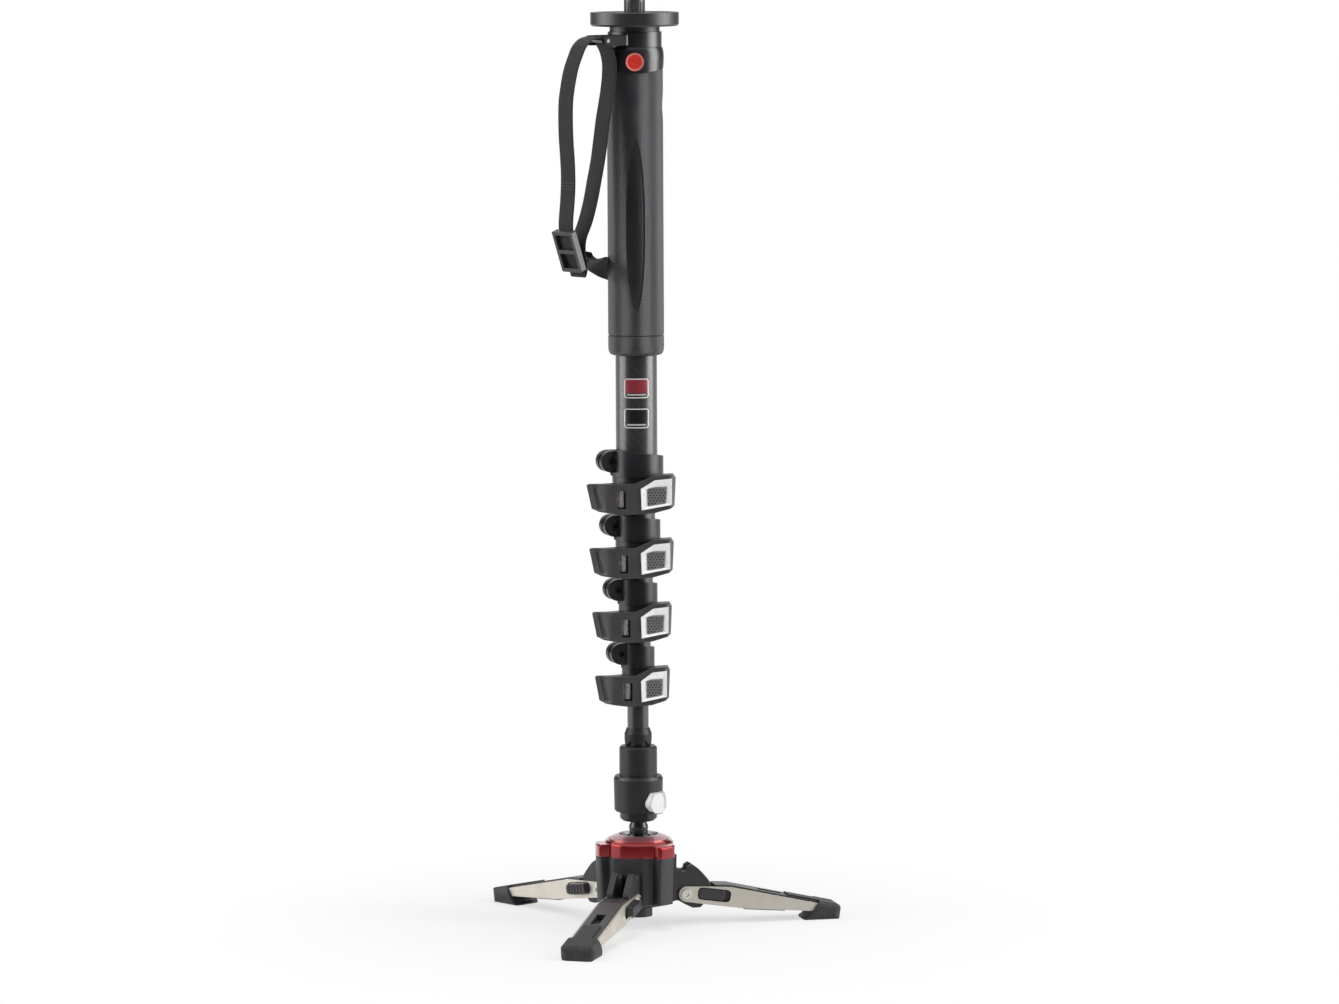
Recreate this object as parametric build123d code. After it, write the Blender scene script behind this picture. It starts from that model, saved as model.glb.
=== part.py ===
from build123d import *
import math
import os

# Camera monopod with a fluid foot, closed and standing on three folding legs.
# X points right, Y away from the viewer and Z up. The origin is on the column's axis,
# on the floor. All lengths are millimetres and all angles are degrees.

# Fits shared by all pieces
overrun = 2.0
running_fit = 0.05
seat_fit = 0.03
face_fit = 0.05

# Column: five tubes, the widest on top
tube_count = 5
top_tube_diameter = 33.0
tube_wall = 1.2
tube_gap = 0.8
tube_end_drop = 3.0
nest_step = 12.0
shim_length = 20.0
shim_split = 3.0
shim_peg_radius = 1.6
shim_fit = 0.06

# Locks: one under each of the four upper tubes
foot_stand_off = 19.8
lock_pitch = 51.4
ring_share = 1.285
collar_height = 47.0
collar_slope = 8.5
collar_high_side = 215.0
low_ring_start = 4.0
low_ring_height = 16.0
low_ring_wall = 3.4
slit_height = 3.5
slit_bridge_share = 0.35
slit_bridge_side = 60.0
step_height = 5.5
lip_height = 1.2
ring_split = 2.4
ring_split_side = -97.0

# Ears and clamp screw of a lock
ear_side = 200.0
ear_stand_off = 2.5
ear_radius = 8.6
ear_height = 41.0
ear_pair_thickness = 14.0
ear_gap = 3.0
screw_radius = 2.0
screw_head_radius = 4.0
screw_head_height = 3.4
screw_head_depth = 3.8
screw_socket_width = 3.6
screw_socket_depth = 2.0
nut_width = 7.0
nut_height = 3.0
nut_depth = 3.4

# Lever, pin and draw bolt of a lock
lever_left_base = 24.0
lever_left_share = 0.75
lever_right_base = 16.6
lever_right_share = 0.67
lever_body_height = 24.0
lever_pad_height = 32.0
lever_clearance = 0.8
knuckle_radius = 6.6
lug_radius = 3.6
lug_height = 9.0
lug_middle = 12.5
lug_clearance = 0.4
lever_pin_radius = 1.75
lever_pin_low = 4.8
lever_pin_high = 30.2
bolt_stand_off = 3.1
bolt_radius = 1.5
bolt_head_radius = 2.6
bolt_head_height = 2.2
bolt_end_gap = 1.2
barrel_radius = 3.1
barrel_length = 13.6
barrel_share = 0.575
left_lug_width = 7.5
window_width = 7.0
window_height = 14.4
window_middle = 11.6
lever_wall = 3.0

# Side outline of a lever, as shares of its reach on that side and of the pad's height
lever_outline_shares = [
    (0.435, 0.04), (0.877, 0.153), (0.965, 0.22), (1.0, 0.90), (0.93, 1.0),
    (0.45, 0.963), (-0.045, 0.762), (-0.955, 0.75), (-1.0, 0.72), (-0.9, 0.14),
    (-0.747, 0.06), (-0.205, 0.0),
]
# Front of the finger tab seen from above: share of the reach, and share of the tab's sweep
tab_sweep = 7.0
tab_tip_thickness = 3.8
tab_front_shares = [(0.35, 0.0), (0.60, 0.25), (0.80, 0.83), (1.0, 1.0)]
# Back of the tab: shares of the left reach and of the lower ring's radius
tab_back_shares = [(0.74, 0.98), (0.50, 0.76), (0.30, 0.38)]

# Bezel and pad on the lever, as shares of the right reach and the pad's height
bezel_outer_shares = [(0.10, 0.647), (0.46, 0.86), (0.90, 0.90), (0.90, 0.25), (0.12, 0.115)]
bezel_rim_shares = [(0.125, 0.635), (0.47, 0.84), (0.88, 0.875), (0.88, 0.27), (0.145, 0.14)]
pad_shares = [(0.27, 0.64), (0.45, 0.685), (0.765, 0.69), (0.74, 0.29), (0.28, 0.22)]
bezel_sink = 1.2
bezel_proud = 0.9
dish_depth = 0.5
pad_proud = 0.2

# Grip
grip_radius = 22.2
grip_low = 459.0
grip_low_round = 8.0
grip_groove_height = 475.0
grip_groove_width = 1.6
grip_groove_depth = 0.8
grip_waist_drop = 47.0
grip_waist_length = 26.0
grip_waist_depth = 0.7
panel_drop = 141.0
panel_length = 136.0
panel_width = 15.0
panel_depth = 0.7

# Crown of the grip and its badge
crown_top = 703.0
crown_length = 25.0
crown_low = crown_top - crown_length
grip_waist_height = crown_top - grip_waist_drop
panel_height = crown_top - panel_drop
crown_top_radius = 21.6
crown_bulge_radius = 23.0
crown_bulge_drop = 10.0
crown_bulge_height = crown_top - crown_bulge_drop
crown_low_radius = 22.5
parting_drop = 16.6
parting_curve_drop = 4.0
parting_side_height = crown_top - parting_drop
parting_middle_height = parting_side_height - parting_curve_drop
crown_web = 2.6
crown_boss_radius = 14.0
badge_radius = 7.15
badge_drop = 11.4
badge_height = crown_top - badge_drop
badge_thickness = 1.6
badge_proud = 0.5
badge_rim = 0.8

# Strap collar, its lug and the strap bar
strap_collar_radius = 21.35
strap_collar_height = 11.8
strap_side = 221.4
lug_block_reach = 31.0
lug_bar_reach = 38.0
lug_arm_thickness = 3.2
strap_lug_height = 8.0
bar_radius = 1.5

# Top disc, stud and stud cap
disc_radius = 35.0
disc_thickness = 10.8
disc_low_round = 1.4
disc_neck_radius = 19.85
disc_neck_height = 4.4
cap_seat_depth = 0.8
cap_seat_gap = 0.4
stud_radius = 9.525 / 2
stud_stand = 9.0
stud_tip_chamfer = 0.8
stud_head_radius = 7.5
stud_head_height = 3.0
cap_radius = 8.3
cap_height = 12.4
cap_chamfer = 1.4
cap_flute_count = 20
cap_flute_depth = 0.45
cap_bore_gap = 0.08

# Wrist strap: a flat webbing loop in the upright plane through the strap bar
webbing_width = 17.0
webbing_thickness = 1.6
wrap_gap = 0.35
strap_end_pull_share = 0.4
strap_drop = 184.0
strap_reach = 36.0
# Loop from the bar outwards and down to the buckle: shares of the reach and the drop
outer_strand_shares = [
    (0.333, -0.008), (0.544, 0.022), (0.667, 0.064), (0.786, 0.115), (0.892, 0.193),
    (0.944, 0.255), (0.956, 0.335), (0.943, 0.416), (0.908, 0.502), (0.892, 0.588),
    (0.915, 0.674), (0.955, 0.745), (0.965, 0.790), (0.905, 0.860), (0.670, 0.965),
]
# Bottom fold, and back up along the inner strand to the bar
inner_strand_shares = [
    (0.640, 0.990), (0.615, 1.003), (0.578, 0.990), (0.555, 0.965), (0.600, 0.915),
    (0.610, 0.880), (0.590, 0.845), (0.400, 0.766), (0.250, 0.680), (0.139, 0.594),
    (0.031, 0.508), (-0.050, 0.421), (-0.111, 0.350), (-0.189, 0.280), (-0.264, 0.212),
    (-0.308, 0.147), (-0.312, 0.098), (-0.240, 0.048),
]
# Tail: (share of the run from the loop to its end, twist in degrees)
tail_twists = [(0.0, 0.0), (0.3, 28.0), (0.6, 58.0), (0.85, 84.0), (1.0, 90.0)]
tail_start_step = (7.11, 6.21, -3.17)
tail_run = (16.6, 60.2, -12.5)

# Ladder buckle on the outer strand
buckle_length = 34.0
buckle_rail = 3.0
buckle_bar = 3.0
buckle_depth = 5.0
buckle_gap = 0.3
buckle_reach_share = 0.845
buckle_drop_share = 0.888
buckle_lean = 19.5

# Foot of the column
socket_top = 160.0
socket_radius = 10.9
socket_top_radius = 9.2
socket_flare = 4.5
socket_floor = 148.0
socket_low = 146.0
socket_notch_count = 6
socket_notch_radius = 2.6
foot_spigot_radius = 9.0
foot_spigot_length = 11.6

# Release housing and button
housing_low = 93.0
housing_body_top = 121.6
housing_top = 145.6
housing_radius = 19.7
housing_low_radius = 19.2
housing_bevel = 2.4
housing_sleeve_radius = 15.1
sleeve_chamfer = 1.4
housing_bore_radius = 8.3
housing_bore_depth = 28.0
button_side = -42.0
button_middle = 101.7
button_root = 15.6
button_shoulder = 21.6
button_reach = 23.2
button_face_lean = 6.0
button_travel = 1.8
button_gap = 0.3
# Corners of the button's shank and of its front facet, about the button's middle
button_shank_corners = [
    (-10.0, -2.4), (-10.0, 0.8), (-6.5, 8.0), (6.8, 8.0),
    (9.2, 2.5), (9.2, -4.5), (6.8, -6.9), (-6.5, -6.9),
]
button_face_corners = [
    (-8.3, -5.0), (-8.3, 4.2), (-5.6, 7.4), (1.5, 8.0),
    (4.0, 4.0), (4.4, -5.6), (2.2, -9.0), (-5.0, -9.0),
]

# Stem and ball
ball_height = 65.5
ball_radius = 12.6
ball_socket_depth = 10.0
stem_spigot_radius = 8.0
stem_spigot_top = 115.5
stem_groove_height = 103.0
stem_groove_depth = 1.0
stem_groove_width = 4.0
flange_radius = 14.9
flange_low = 85.6
flange_round = 2.0
stem_neck_radius = 6.6
stem_neck_height = 84.2
stem_bulb_radius = 7.7
stem_bulb_height = 80.4
stem_boss_radius = 7.4
stem_boss_top = 77.0
stem_boss_low = 74.6
stem_post_radius = 5.2

# Seat ring and cup round the ball
shell_gap = 0.3
ring_thickness = 1.6
ring_half_angle = 24.0
cup_radius = 17.6
cup_low = 48.0
cup_high = 68.0

# Hub and red collar: a ring with three blocks between the legs, and brackets at the legs
body_ring_radius = 28.0
block_reach = 35.0
block_half_width = 9.0
block_corner = 3.0
bracket_half_width = 12.4
bracket_reach = 28.8
hub_top = 58.0
hub_inset = 0.4
hub_shoulder_height = 20.5
hub_taper_share = 0.96
hub_belly_share = 0.50
ear_root = 14.5
hub_boss_radius = 10.8
hub_boss_low = 8.0
hub_belly_low = 16.5
collar_rim_height = 68.0
collar_rim_bevel = 1.2
collar_step_height = 68.2
collar_shoulder_radius = 26.0
collar_shoulder_height = 70.3
collar_cone_radius = 24.4
collar_cone_height = 71.4
collar_mouth_radius = 15.7
collar_mouth_land = 1.6
collar_top = 74.4
collar_bore_radius = 18.2

# Legs
leg_azimuths = [-107.4, 12.6, 132.6]
leg_names = ["front", "right", "left"]
leg_pin_reach = 36.7
leg_pin_height = 25.4
leg_slope = 8.4
leg_pin_radius = 3.0
leg_pin_head_radius = 4.2
leg_pin_head_height = 1.0
leg_pin_socket = 3.4
leg_inner_half = 9.5
plate_thickness = 2.0
plate_end_radius = 6.2
plate_length = 113.3
plate_knee = 35.6
plate_knee_height = 9.5
plate_tip_height = 3.5
plate_tip_drop = 2.3
plate_belly_start = 22.0
plate_belly_end = 52.1
plate_belly_drop = 6.5
web_start = 25.0
web_end = 49.3
web_thickness = 1.6
cover_start = 21.4
cover_proud = 1.3
cover_gap = 0.2
cover_belly_end = 83.3
cover_belly_proud = 0.9
cover_slot_start = 60.3
cover_slot_length = 20.0
cover_slot_width = 7.5
cover_slot_depth = 5.0
cover_slot_end_depth = 1.2

# Cam ear of the hub between the plates of a leg: two cheeks with a gap between them.
# Points of its outline about the hinge pin: (outwards, up)
cam_half = 9.1
cam_gap_half = 4.5
cam_gap_start = 23.0
cam_gap_low = 12.0
cam_gap_high = 42.0
cam_clear_radius = 24.7
cam_low_points = [(-9.5, -4.9), (-6.0, -5.4), (-0.7, -8.6), (5.4, -11.6), (11.0, -11.6)]
cam_round_points = [(11.0, -11.6), (14.2, -9.1), (16.0, -4.6), (18.4, 0.0), (20.1, 4.8),
                    (19.4, 9.0), (16.6, 13.0), (12.7, 17.5), (8.4, 21.4), (4.8, 23.3)]
cam_notch_points = [(4.8, 23.3), (2.0, 21.6), (1.0, 18.4), (-3.0, 18.1), (-4.5, 19.8),
                    (-6.9, 20.6)]

# Latch of a leg
latch_start = 9.3
latch_length = 23.4
latch_height = 9.6
latch_middle = 1.8
latch_travel = 3.5
latch_gap = 0.2
latch_corner = 3.2
latch_block_start = 25.3
latch_thumb_reach = 5.5
latch_thumb_taper = 1.0
latch_thumb_thin = 2.0
latch_flush_reach = 0.6
latch_rib_count = 5
latch_rib_depth = 0.6
latch_rib_width = 1.0

# Rubber foot of a leg
boot_start = 103.3
boot_end = 129.3
boot_front_slant = 7.0
boot_heel_length = 3.6
boot_heel_height = 2.0
boot_half_width = 14.0
boot_edge_half_width = 12.0
boot_edge_round = 2.5
boot_plan_corner = 6.5
boot_toe_round = 5.0
boot_toe_low = 2.4
boot_top_proud = 1.1
boot_tongue_start = 84.3
boot_tongue_half_width = 7.0
boot_fit = 0.05
boot_trim = 0.4

CENTRED_LOW = (Align.CENTER, Align.CENTER, Align.MIN)
FORWARD = (Align.MIN, Align.CENTER, Align.CENTER)
LOCKS = range(tube_count - 1)
LEGS = range(len(leg_azimuths))


# Helpers

def direction(degrees):
    """A level unit vector at an angle from +X."""
    return Vector(math.cos(math.radians(degrees)), math.sin(math.radians(degrees)), 0)


def bar(radius, low, high):
    """A round bar on the column's axis between two heights."""
    return Pos(0, 0, low) * Cylinder(radius, high - low, align=CENTRED_LOW)


def turned(points):
    """A turned solid from its half profile of (radius, height) points."""
    return revolve(Plane.XZ * make_face(Polyline(*points, close=True)), Axis.Z)


def upright(origin, x_dir):
    """A work plane that stands upright: its x runs along x_dir and its y runs up."""
    return Plane(origin=origin, x_dir=x_dir, z_dir=x_dir.cross(Vector(0, 0, 1)))


def drilled(origin, axis, radius, length):
    """A round bar or drill from a point along an axis."""
    return Plane(origin=origin, z_dir=axis) * Cylinder(radius, length, align=CENTRED_LOW)


def only_solid(shape):
    """The one solid of a shape, so that a stray piece is noticed at once."""
    solids = shape.solids()
    if len(solids) != 1:
        raise ValueError(f"expected one solid, found {len(solids)}")
    return solids[0]


# Column

def tube_radius(n):
    return top_tube_diameter / 2 - n * (tube_wall + tube_gap)


def lock_base(n):
    return socket_top + foot_stand_off + (tube_count - 2 - n) * lock_pitch


def lip_top(n):
    """Where tube n stands in its lock collar."""
    return lock_base(n) + low_ring_start + low_ring_height + slit_height + step_height + lip_height


def tube_bottom(n):
    return socket_floor + face_fit if n == tube_count - 1 else lip_top(n) + face_fit


def tube_end(n):
    return crown_top - tube_end_drop - n * nest_step


def tube(n):
    outer = tube_radius(n)
    body = bar(outer, tube_bottom(n), tube_end(n))
    body -= bar(outer - tube_wall, tube_bottom(n) - overrun, tube_end(n) + overrun)
    if n > 0:
        height = tube_end(n) - shim_length / 2
        body -= drilled((-outer - overrun, 0, height), (1, 0, 0),
                        shim_peg_radius + seat_fit, 2 * (outer + overrun))
    return only_solid(body)


def shims(n):
    """Two half shells round the top of tube n, each with a peg in the tube's hole."""
    inner = tube_radius(n) + seat_fit
    outer = tube_radius(n) + tube_gap - shim_fit
    low = tube_end(n) - shim_length
    shell = bar(outer, low, tube_end(n)) - bar(inner, low - overrun, tube_end(n) + overrun)
    shell -= Pos(0, 0, low) * Box(shim_split, 2 * (outer + overrun), shim_length + overrun,
                                  align=CENTRED_LOW)
    middle = low + shim_length / 2
    peg_start = tube_radius(n) - tube_wall
    halves = []
    for side in (1, -1):
        half = shell & Pos(side * outer, 0, low) * Box(2 * outer, 2 * outer, shim_length,
                                                     align=CENTRED_LOW)
        peg = drilled((side * peg_start, 0, middle), (side, 0, 0),
                      shim_peg_radius, outer - peg_start - shim_fit)
        halves.append(only_solid(half + peg))
    return halves


# Locks

def ring_radius(n):
    return tube_radius(n) * ring_share


def low_ring_radius(n):
    return tube_radius(n + 1) + running_fit + low_ring_wall


def left_reach(n):
    return lever_left_base + lever_left_share * ring_radius(n)


def right_reach(n):
    return lever_right_base + lever_right_share * ring_radius(n)


def bolt_line(n):
    """Distance of the draw bolt in front of the column's axis."""
    return low_ring_radius(n) + bolt_stand_off


def lever_pin_spot(n):
    return Vector(right_reach(n) - knuckle_radius, -bolt_line(n), 0)


def barrel_spot(n):
    return Vector(-barrel_share * ring_radius(n), -bolt_line(n), 0)


def lever_front(n):
    return bolt_line(n) + knuckle_radius


def ear_plane(n):
    """Middle of the two ears: x outwards from the column, z along the clamp screw."""
    outwards = direction(ear_side)
    return Plane(origin=(0, 0, lock_base(n) + ear_height), x_dir=outwards,
                 z_dir=direction(ear_side + 90))


def ear_reach(n):
    return ring_radius(n) + ear_stand_off


def lock_collar(n):
    """The casting: clamp ring with two ears above, split ring with two lugs below."""
    base = lock_base(n)
    ring, low_ring = ring_radius(n), low_ring_radius(n)
    low = base + low_ring_start
    slit = low + low_ring_height
    step = slit + slit_height
    shoulder = step + step_height
    top = base + collar_height
    rise = ring * math.tan(math.radians(collar_slope))

    upper = bar(ring, shoulder, top + rise + overrun)
    tilt = math.radians(collar_slope)
    across = direction(collar_high_side + 180) * math.sin(tilt)
    slope = Plane(origin=(0, 0, top), z_dir=across + Vector(0, 0, math.cos(tilt)))
    cutter = 2 * (ring + overrun + rise)
    upper -= slope * Box(2 * cutter, 2 * cutter, cutter, align=CENTRED_LOW)
    body = bar(low_ring, low, step) + bar((ring + low_ring) / 2, step, shoulder) + upper

    ears = ear_plane(n)
    reach = ear_reach(n)
    plate = Pos(reach, 0) * Circle(ear_radius)
    plate += Rectangle(reach, 2 * ear_radius, align=(Align.MIN, Align.CENTER))
    body += ears * extrude(plate, amount=ear_pair_thickness / 2, both=True)
    slot_height = 2 * (base + ear_height - shoulder - lip_height)
    body -= ears * Box(reach + ear_radius + overrun, slot_height, ear_gap, align=FORWARD)
    half_pair = ear_pair_thickness / 2
    body -= ears * Pos(reach, 0, 0) * Cylinder(screw_radius + running_fit,
                                               ear_pair_thickness + overrun)
    head_pocket = Cylinder(screw_head_radius + running_fit, 2 * screw_head_depth)
    body -= ears * Pos(reach, 0, half_pair) * head_pocket
    nut_pocket = extrude(RegularPolygon(nut_width / 2 + running_fit, 6, major_radius=False),
                         amount=nut_depth, both=True)
    body -= ears * Pos(reach, 0, -half_pair) * nut_pocket

    pin, barrel = lever_pin_spot(n), barrel_spot(n)
    arm = pin.normalized()
    lug = Rectangle(pin.length, 2 * lug_radius, align=(Align.MIN, Align.CENTER))
    lug += Pos(pin.length, 0) * Circle(lug_radius)
    lug_plane = Plane(origin=(0, 0, base + lug_middle), x_dir=arm, z_dir=(0, 0, 1))
    right_lug = lug_plane * extrude(lug, amount=lug_height / 2, both=True)
    middle = base + lug_middle
    body += right_lug
    left_depth = bolt_line(n) + bolt_head_radius
    body += Pos(barrel.X, -left_depth, middle) * Box(
        left_lug_width, left_depth, barrel_length, align=(Align.MIN, Align.MIN, Align.CENTER))
    body -= Pos(barrel.X, barrel.Y, middle) * Cylinder(barrel_radius + seat_fit,
                                                       barrel_length + overrun)
    bolt_length = pin.X - lever_pin_radius - bolt_end_gap - barrel.X
    body -= drilled((barrel.X, barrel.Y, middle), (1, 0, 0), bolt_radius + running_fit,
                    bolt_length + running_fit)
    body -= Pos(pin.X, pin.Y, middle) * Cylinder(lever_pin_radius + seat_fit,
                                                 lug_height + overrun)

    block = 2 * (low_ring + overrun)
    keep = slit_bridge_share * low_ring
    slit_cut = Pos(keep - block, 0, slit) * Box(block, block, slit_height,
                                                 align=(Align.MIN, Align.CENTER, Align.MIN))
    body -= Rot(0, 0, slit_bridge_side) * slit_cut
    split = Pos(0, 0, low - overrun) * Box(low_ring + overrun, ring_split,
                                           low_ring_height + slit_height + overrun,
                                           align=(Align.MIN, Align.CENTER, Align.MIN))
    body -= Rot(0, 0, ring_split_side) * split
    body -= bar(tube_radius(n) + seat_fit, lip_top(n), top + rise + 2 * overrun)
    body -= bar(tube_radius(n + 1) + running_fit, base - overrun, top)
    return only_solid(body)


def lock_fasteners(n):
    """Clamp screw, nut, lever pin, draw bolt and its barrel."""
    ears, reach, half_pair = ear_plane(n), ear_reach(n), ear_pair_thickness / 2
    head_low = half_pair - screw_head_depth + face_fit
    shank_low = -half_pair + nut_depth - nut_height - face_fit
    head = Pos(0, 0, head_low) * Cylinder(screw_head_radius, screw_head_height,
                                          align=CENTRED_LOW)
    socket = Pos(0, 0, head_low + screw_head_height - screw_socket_depth) * extrude(
        RegularPolygon(screw_socket_width / 2, 6, major_radius=False), amount=screw_socket_depth)
    shank = Pos(0, 0, shank_low) * Cylinder(screw_radius, head_low - shank_low,
                                            align=CENTRED_LOW)
    screw = ears * Pos(reach, 0, 0) * (head - socket + shank)
    nut = extrude(RegularPolygon(nut_width / 2, 6, major_radius=False), amount=nut_height)
    nut -= Cylinder(screw_radius + seat_fit, 2 * nut_height + overrun)
    nut = ears * Pos(reach, 0, shank_low) * nut

    base = lock_base(n)
    pin_spot, barrel_at = lever_pin_spot(n), barrel_spot(n)
    middle = base + lug_middle
    pin = Pos(pin_spot.X, pin_spot.Y, base + lever_pin_low) * Cylinder(
        lever_pin_radius, lever_pin_high - lever_pin_low, align=CENTRED_LOW)
    barrel = Pos(barrel_at.X, barrel_at.Y, middle) * Cylinder(barrel_radius, barrel_length)
    through = 2 * (barrel_radius + overrun)
    barrel -= drilled((barrel_at.X - through / 2, barrel_at.Y, middle), (1, 0, 0),
                      bolt_radius + seat_fit, through)
    head_start = barrel_at.X - barrel_radius - bolt_head_height
    bolt_end = pin_spot.X - lever_pin_radius - bolt_end_gap
    bolt = drilled((head_start, barrel_at.Y, middle), (1, 0, 0), bolt_radius,
                   bolt_end - head_start)
    bolt += drilled((head_start, barrel_at.Y, middle), (1, 0, 0), bolt_head_radius,
                    bolt_head_height - face_fit)
    return [only_solid(piece) for piece in (screw, nut, pin, barrel, bolt)]


def lever_face_plane(n):
    """The lever's flat front: x to the right, y up from the lever's base."""
    return upright((0, -lever_front(n), lock_base(n)), Vector(1, 0, 0))


def scaled_outline(n, shares, fit=0):
    """A closed face from shares of the lever's reach and the pad's height."""
    points = [((right_reach(n) if x > 0 else left_reach(n)) * x, lever_pad_height * z)
              for x, z in shares]
    face = make_face(Polyline(*points, close=True))
    return offset(face, amount=fit) if fit else face


def lever_plan(n):
    """The lever seen from above: flat front, flared finger tab and round knuckle."""
    pin, front, reach = lever_pin_spot(n), -lever_front(n), left_reach(n)
    tab_front = [(-reach * x, front + tab_sweep * share) for x, share in tab_front_shares]
    tip_back = (tab_front[-1][0], tab_front[-1][1] + tab_tip_thickness)
    tab_back = [tip_back]
    tab_back += [(-reach * x, -low_ring_radius(n) * y) for x, y in tab_back_shares]
    lines = [
        Line((pin.X, front), tab_front[0]),
        Spline(*tab_front, tangents=[(-1, 0), (-1, 0)]),
        Line(tab_front[-1], tip_back),
        Spline(*tab_back),
        Line(tab_back[-1], (pin.X, pin.Y + knuckle_radius)),
        ThreePointArc((pin.X, pin.Y + knuckle_radius), (pin.X + knuckle_radius, pin.Y),
                      (pin.X, front)),
    ]
    return make_face(lines)


def lever(n):
    base = lock_base(n)
    pin, barrel = lever_pin_spot(n), barrel_spot(n)
    body = Pos(0, 0, base) * extrude(lever_plan(n), amount=lever_pad_height)
    outline = lever_face_plane(n) * scaled_outline(n, lever_outline_shares)
    body &= extrude(outline, amount=2 * lever_front(n), both=True)

    low_cut = low_ring_radius(n) + lever_clearance
    high_cut = ring_radius(n) + lever_clearance
    step = base + low_ring_start + low_ring_height + slit_height
    body -= bar(low_cut, base - overrun, step + lever_pad_height)
    body -= bar(high_cut, step - lever_clearance, step + lever_pad_height)

    middle = base + lug_middle
    wall_inside = -lever_front(n) + lever_wall
    room = barrel_length + 2 * lever_clearance
    left_room = barrel_radius + bolt_head_height + lever_clearance
    pocket_width = left_room + left_lug_width + lever_clearance
    body -= Pos(barrel.X - left_room, wall_inside, middle) * Box(
        pocket_width, -wall_inside, room, align=(Align.MIN, Align.MIN, Align.CENTER))
    lug_room = lug_height + 2 * lug_clearance
    lug_front = pin.Y - lug_radius - lug_clearance
    body -= Pos(barrel.X, lug_front, middle) * Box(
        pin.X - barrel.X, -lug_front, lug_room, align=(Align.MIN, Align.MIN, Align.CENTER))
    body -= Pos(pin.X, pin.Y, middle) * Cylinder(lug_radius + lug_clearance, lug_room)
    body -= Pos(pin.X, pin.Y - lug_radius / 2, middle) * Box(
        knuckle_radius + overrun, knuckle_radius + lug_radius, lug_room,
        align=(Align.MIN, Align.MIN, Align.CENTER))
    hole_top = base + lever_pin_high + running_fit
    body -= Pos(pin.X, pin.Y, base - overrun) * Cylinder(
        lever_pin_radius + running_fit, hole_top - base + overrun, align=CENTRED_LOW)

    face = lever_face_plane(n)
    body -= face * Pos(barrel.X, window_middle, 0) * Box(window_width, window_height,
                                                         2 * (lever_wall + overrun))
    sunk = extrude(scaled_outline(n, bezel_outer_shares, seat_fit), amount=-bezel_sink)
    body -= face * sunk
    return only_solid(body)


def lever_bezel(n):
    """Bright frame sunk in the lever's face, dished down to the pad."""
    outer = scaled_outline(n, bezel_outer_shares)
    back = -bezel_sink + face_fit
    frame = Pos(0, 0, back) * extrude(outer, amount=bezel_proud - back)
    dish = loft([Pos(0, 0, bezel_proud) * scaled_outline(n, bezel_rim_shares),
                 Pos(0, 0, -dish_depth) * scaled_outline(n, pad_shares)], ruled=True)
    hole = Pos(0, 0, back - overrun) * extrude(scaled_outline(n, pad_shares),
                                               amount=overrun - back)
    return only_solid(lever_face_plane(n) * (frame - dish - hole))


def lever_pad(n):
    face = scaled_outline(n, pad_shares, -face_fit)
    back = -bezel_sink + face_fit
    return only_solid(lever_face_plane(n) * Pos(0, 0, back) * extrude(face,
                                                                      amount=pad_proud - back))


# Grip, crown and head

def parting_block():
    """Everything above the curved line between the crown and the grip sleeve."""
    half = crown_bulge_radius + overrun
    drop = parting_side_height - parting_middle_height
    low_corner = parting_side_height + drop * (half / grip_radius - 1)
    roof = crown_top + overrun
    lines = [
        ThreePointArc((-half, low_corner), (0, parting_middle_height), (half, low_corner)),
        Polyline((half, low_corner), (half, roof), (-half, roof), (-half, low_corner)),
    ]
    return extrude(Plane.XZ * make_face(lines), amount=half, both=True)


def grip_sleeve():
    """Foam sleeve: plain tube with a waist near the top, a groove and a long oval panel."""
    bore = tube_radius(0) + seat_fit
    waist_low = grip_waist_height - grip_waist_length / 2
    waist_high = grip_waist_height + grip_waist_length / 2
    groove_low = grip_groove_height - grip_groove_width / 2
    groove_high = grip_groove_height + grip_groove_width / 2
    edge = grip_radius - grip_groove_depth
    profile = [
        Line((bore, crown_low), (bore, grip_low)),
        Line((bore, grip_low), (tube_radius(0) + tube_wall, grip_low)),
        Spline((tube_radius(0) + tube_wall, grip_low), (grip_radius, grip_low + grip_low_round),
               tangents=[(1, 0), (0, 1)]),
        Polyline((grip_radius, grip_low + grip_low_round), (grip_radius, groove_low),
                 (edge, grip_groove_height), (grip_radius, groove_high), (grip_radius, waist_low)),
        Spline((grip_radius, waist_low), (grip_radius - grip_waist_depth, grip_waist_height),
               (grip_radius, waist_high), tangents=[(0, 1), (0, 1)]),
        Polyline((grip_radius, waist_high), (grip_radius, crown_top), (bore, crown_top),
                 (bore, crown_low)),
    ]
    body = revolve(Plane.XZ * make_face(profile), Axis.Z)
    body -= Pos(0, 0, -face_fit) * parting_block()
    panel = Plane.XZ * Pos(0, panel_height) * Ellipse(panel_width / 2, panel_length / 2)
    cut = extrude(panel, amount=crown_bulge_radius + overrun)
    body -= cut - bar(grip_radius - panel_depth, grip_low, crown_top)
    return only_solid(body)


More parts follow.
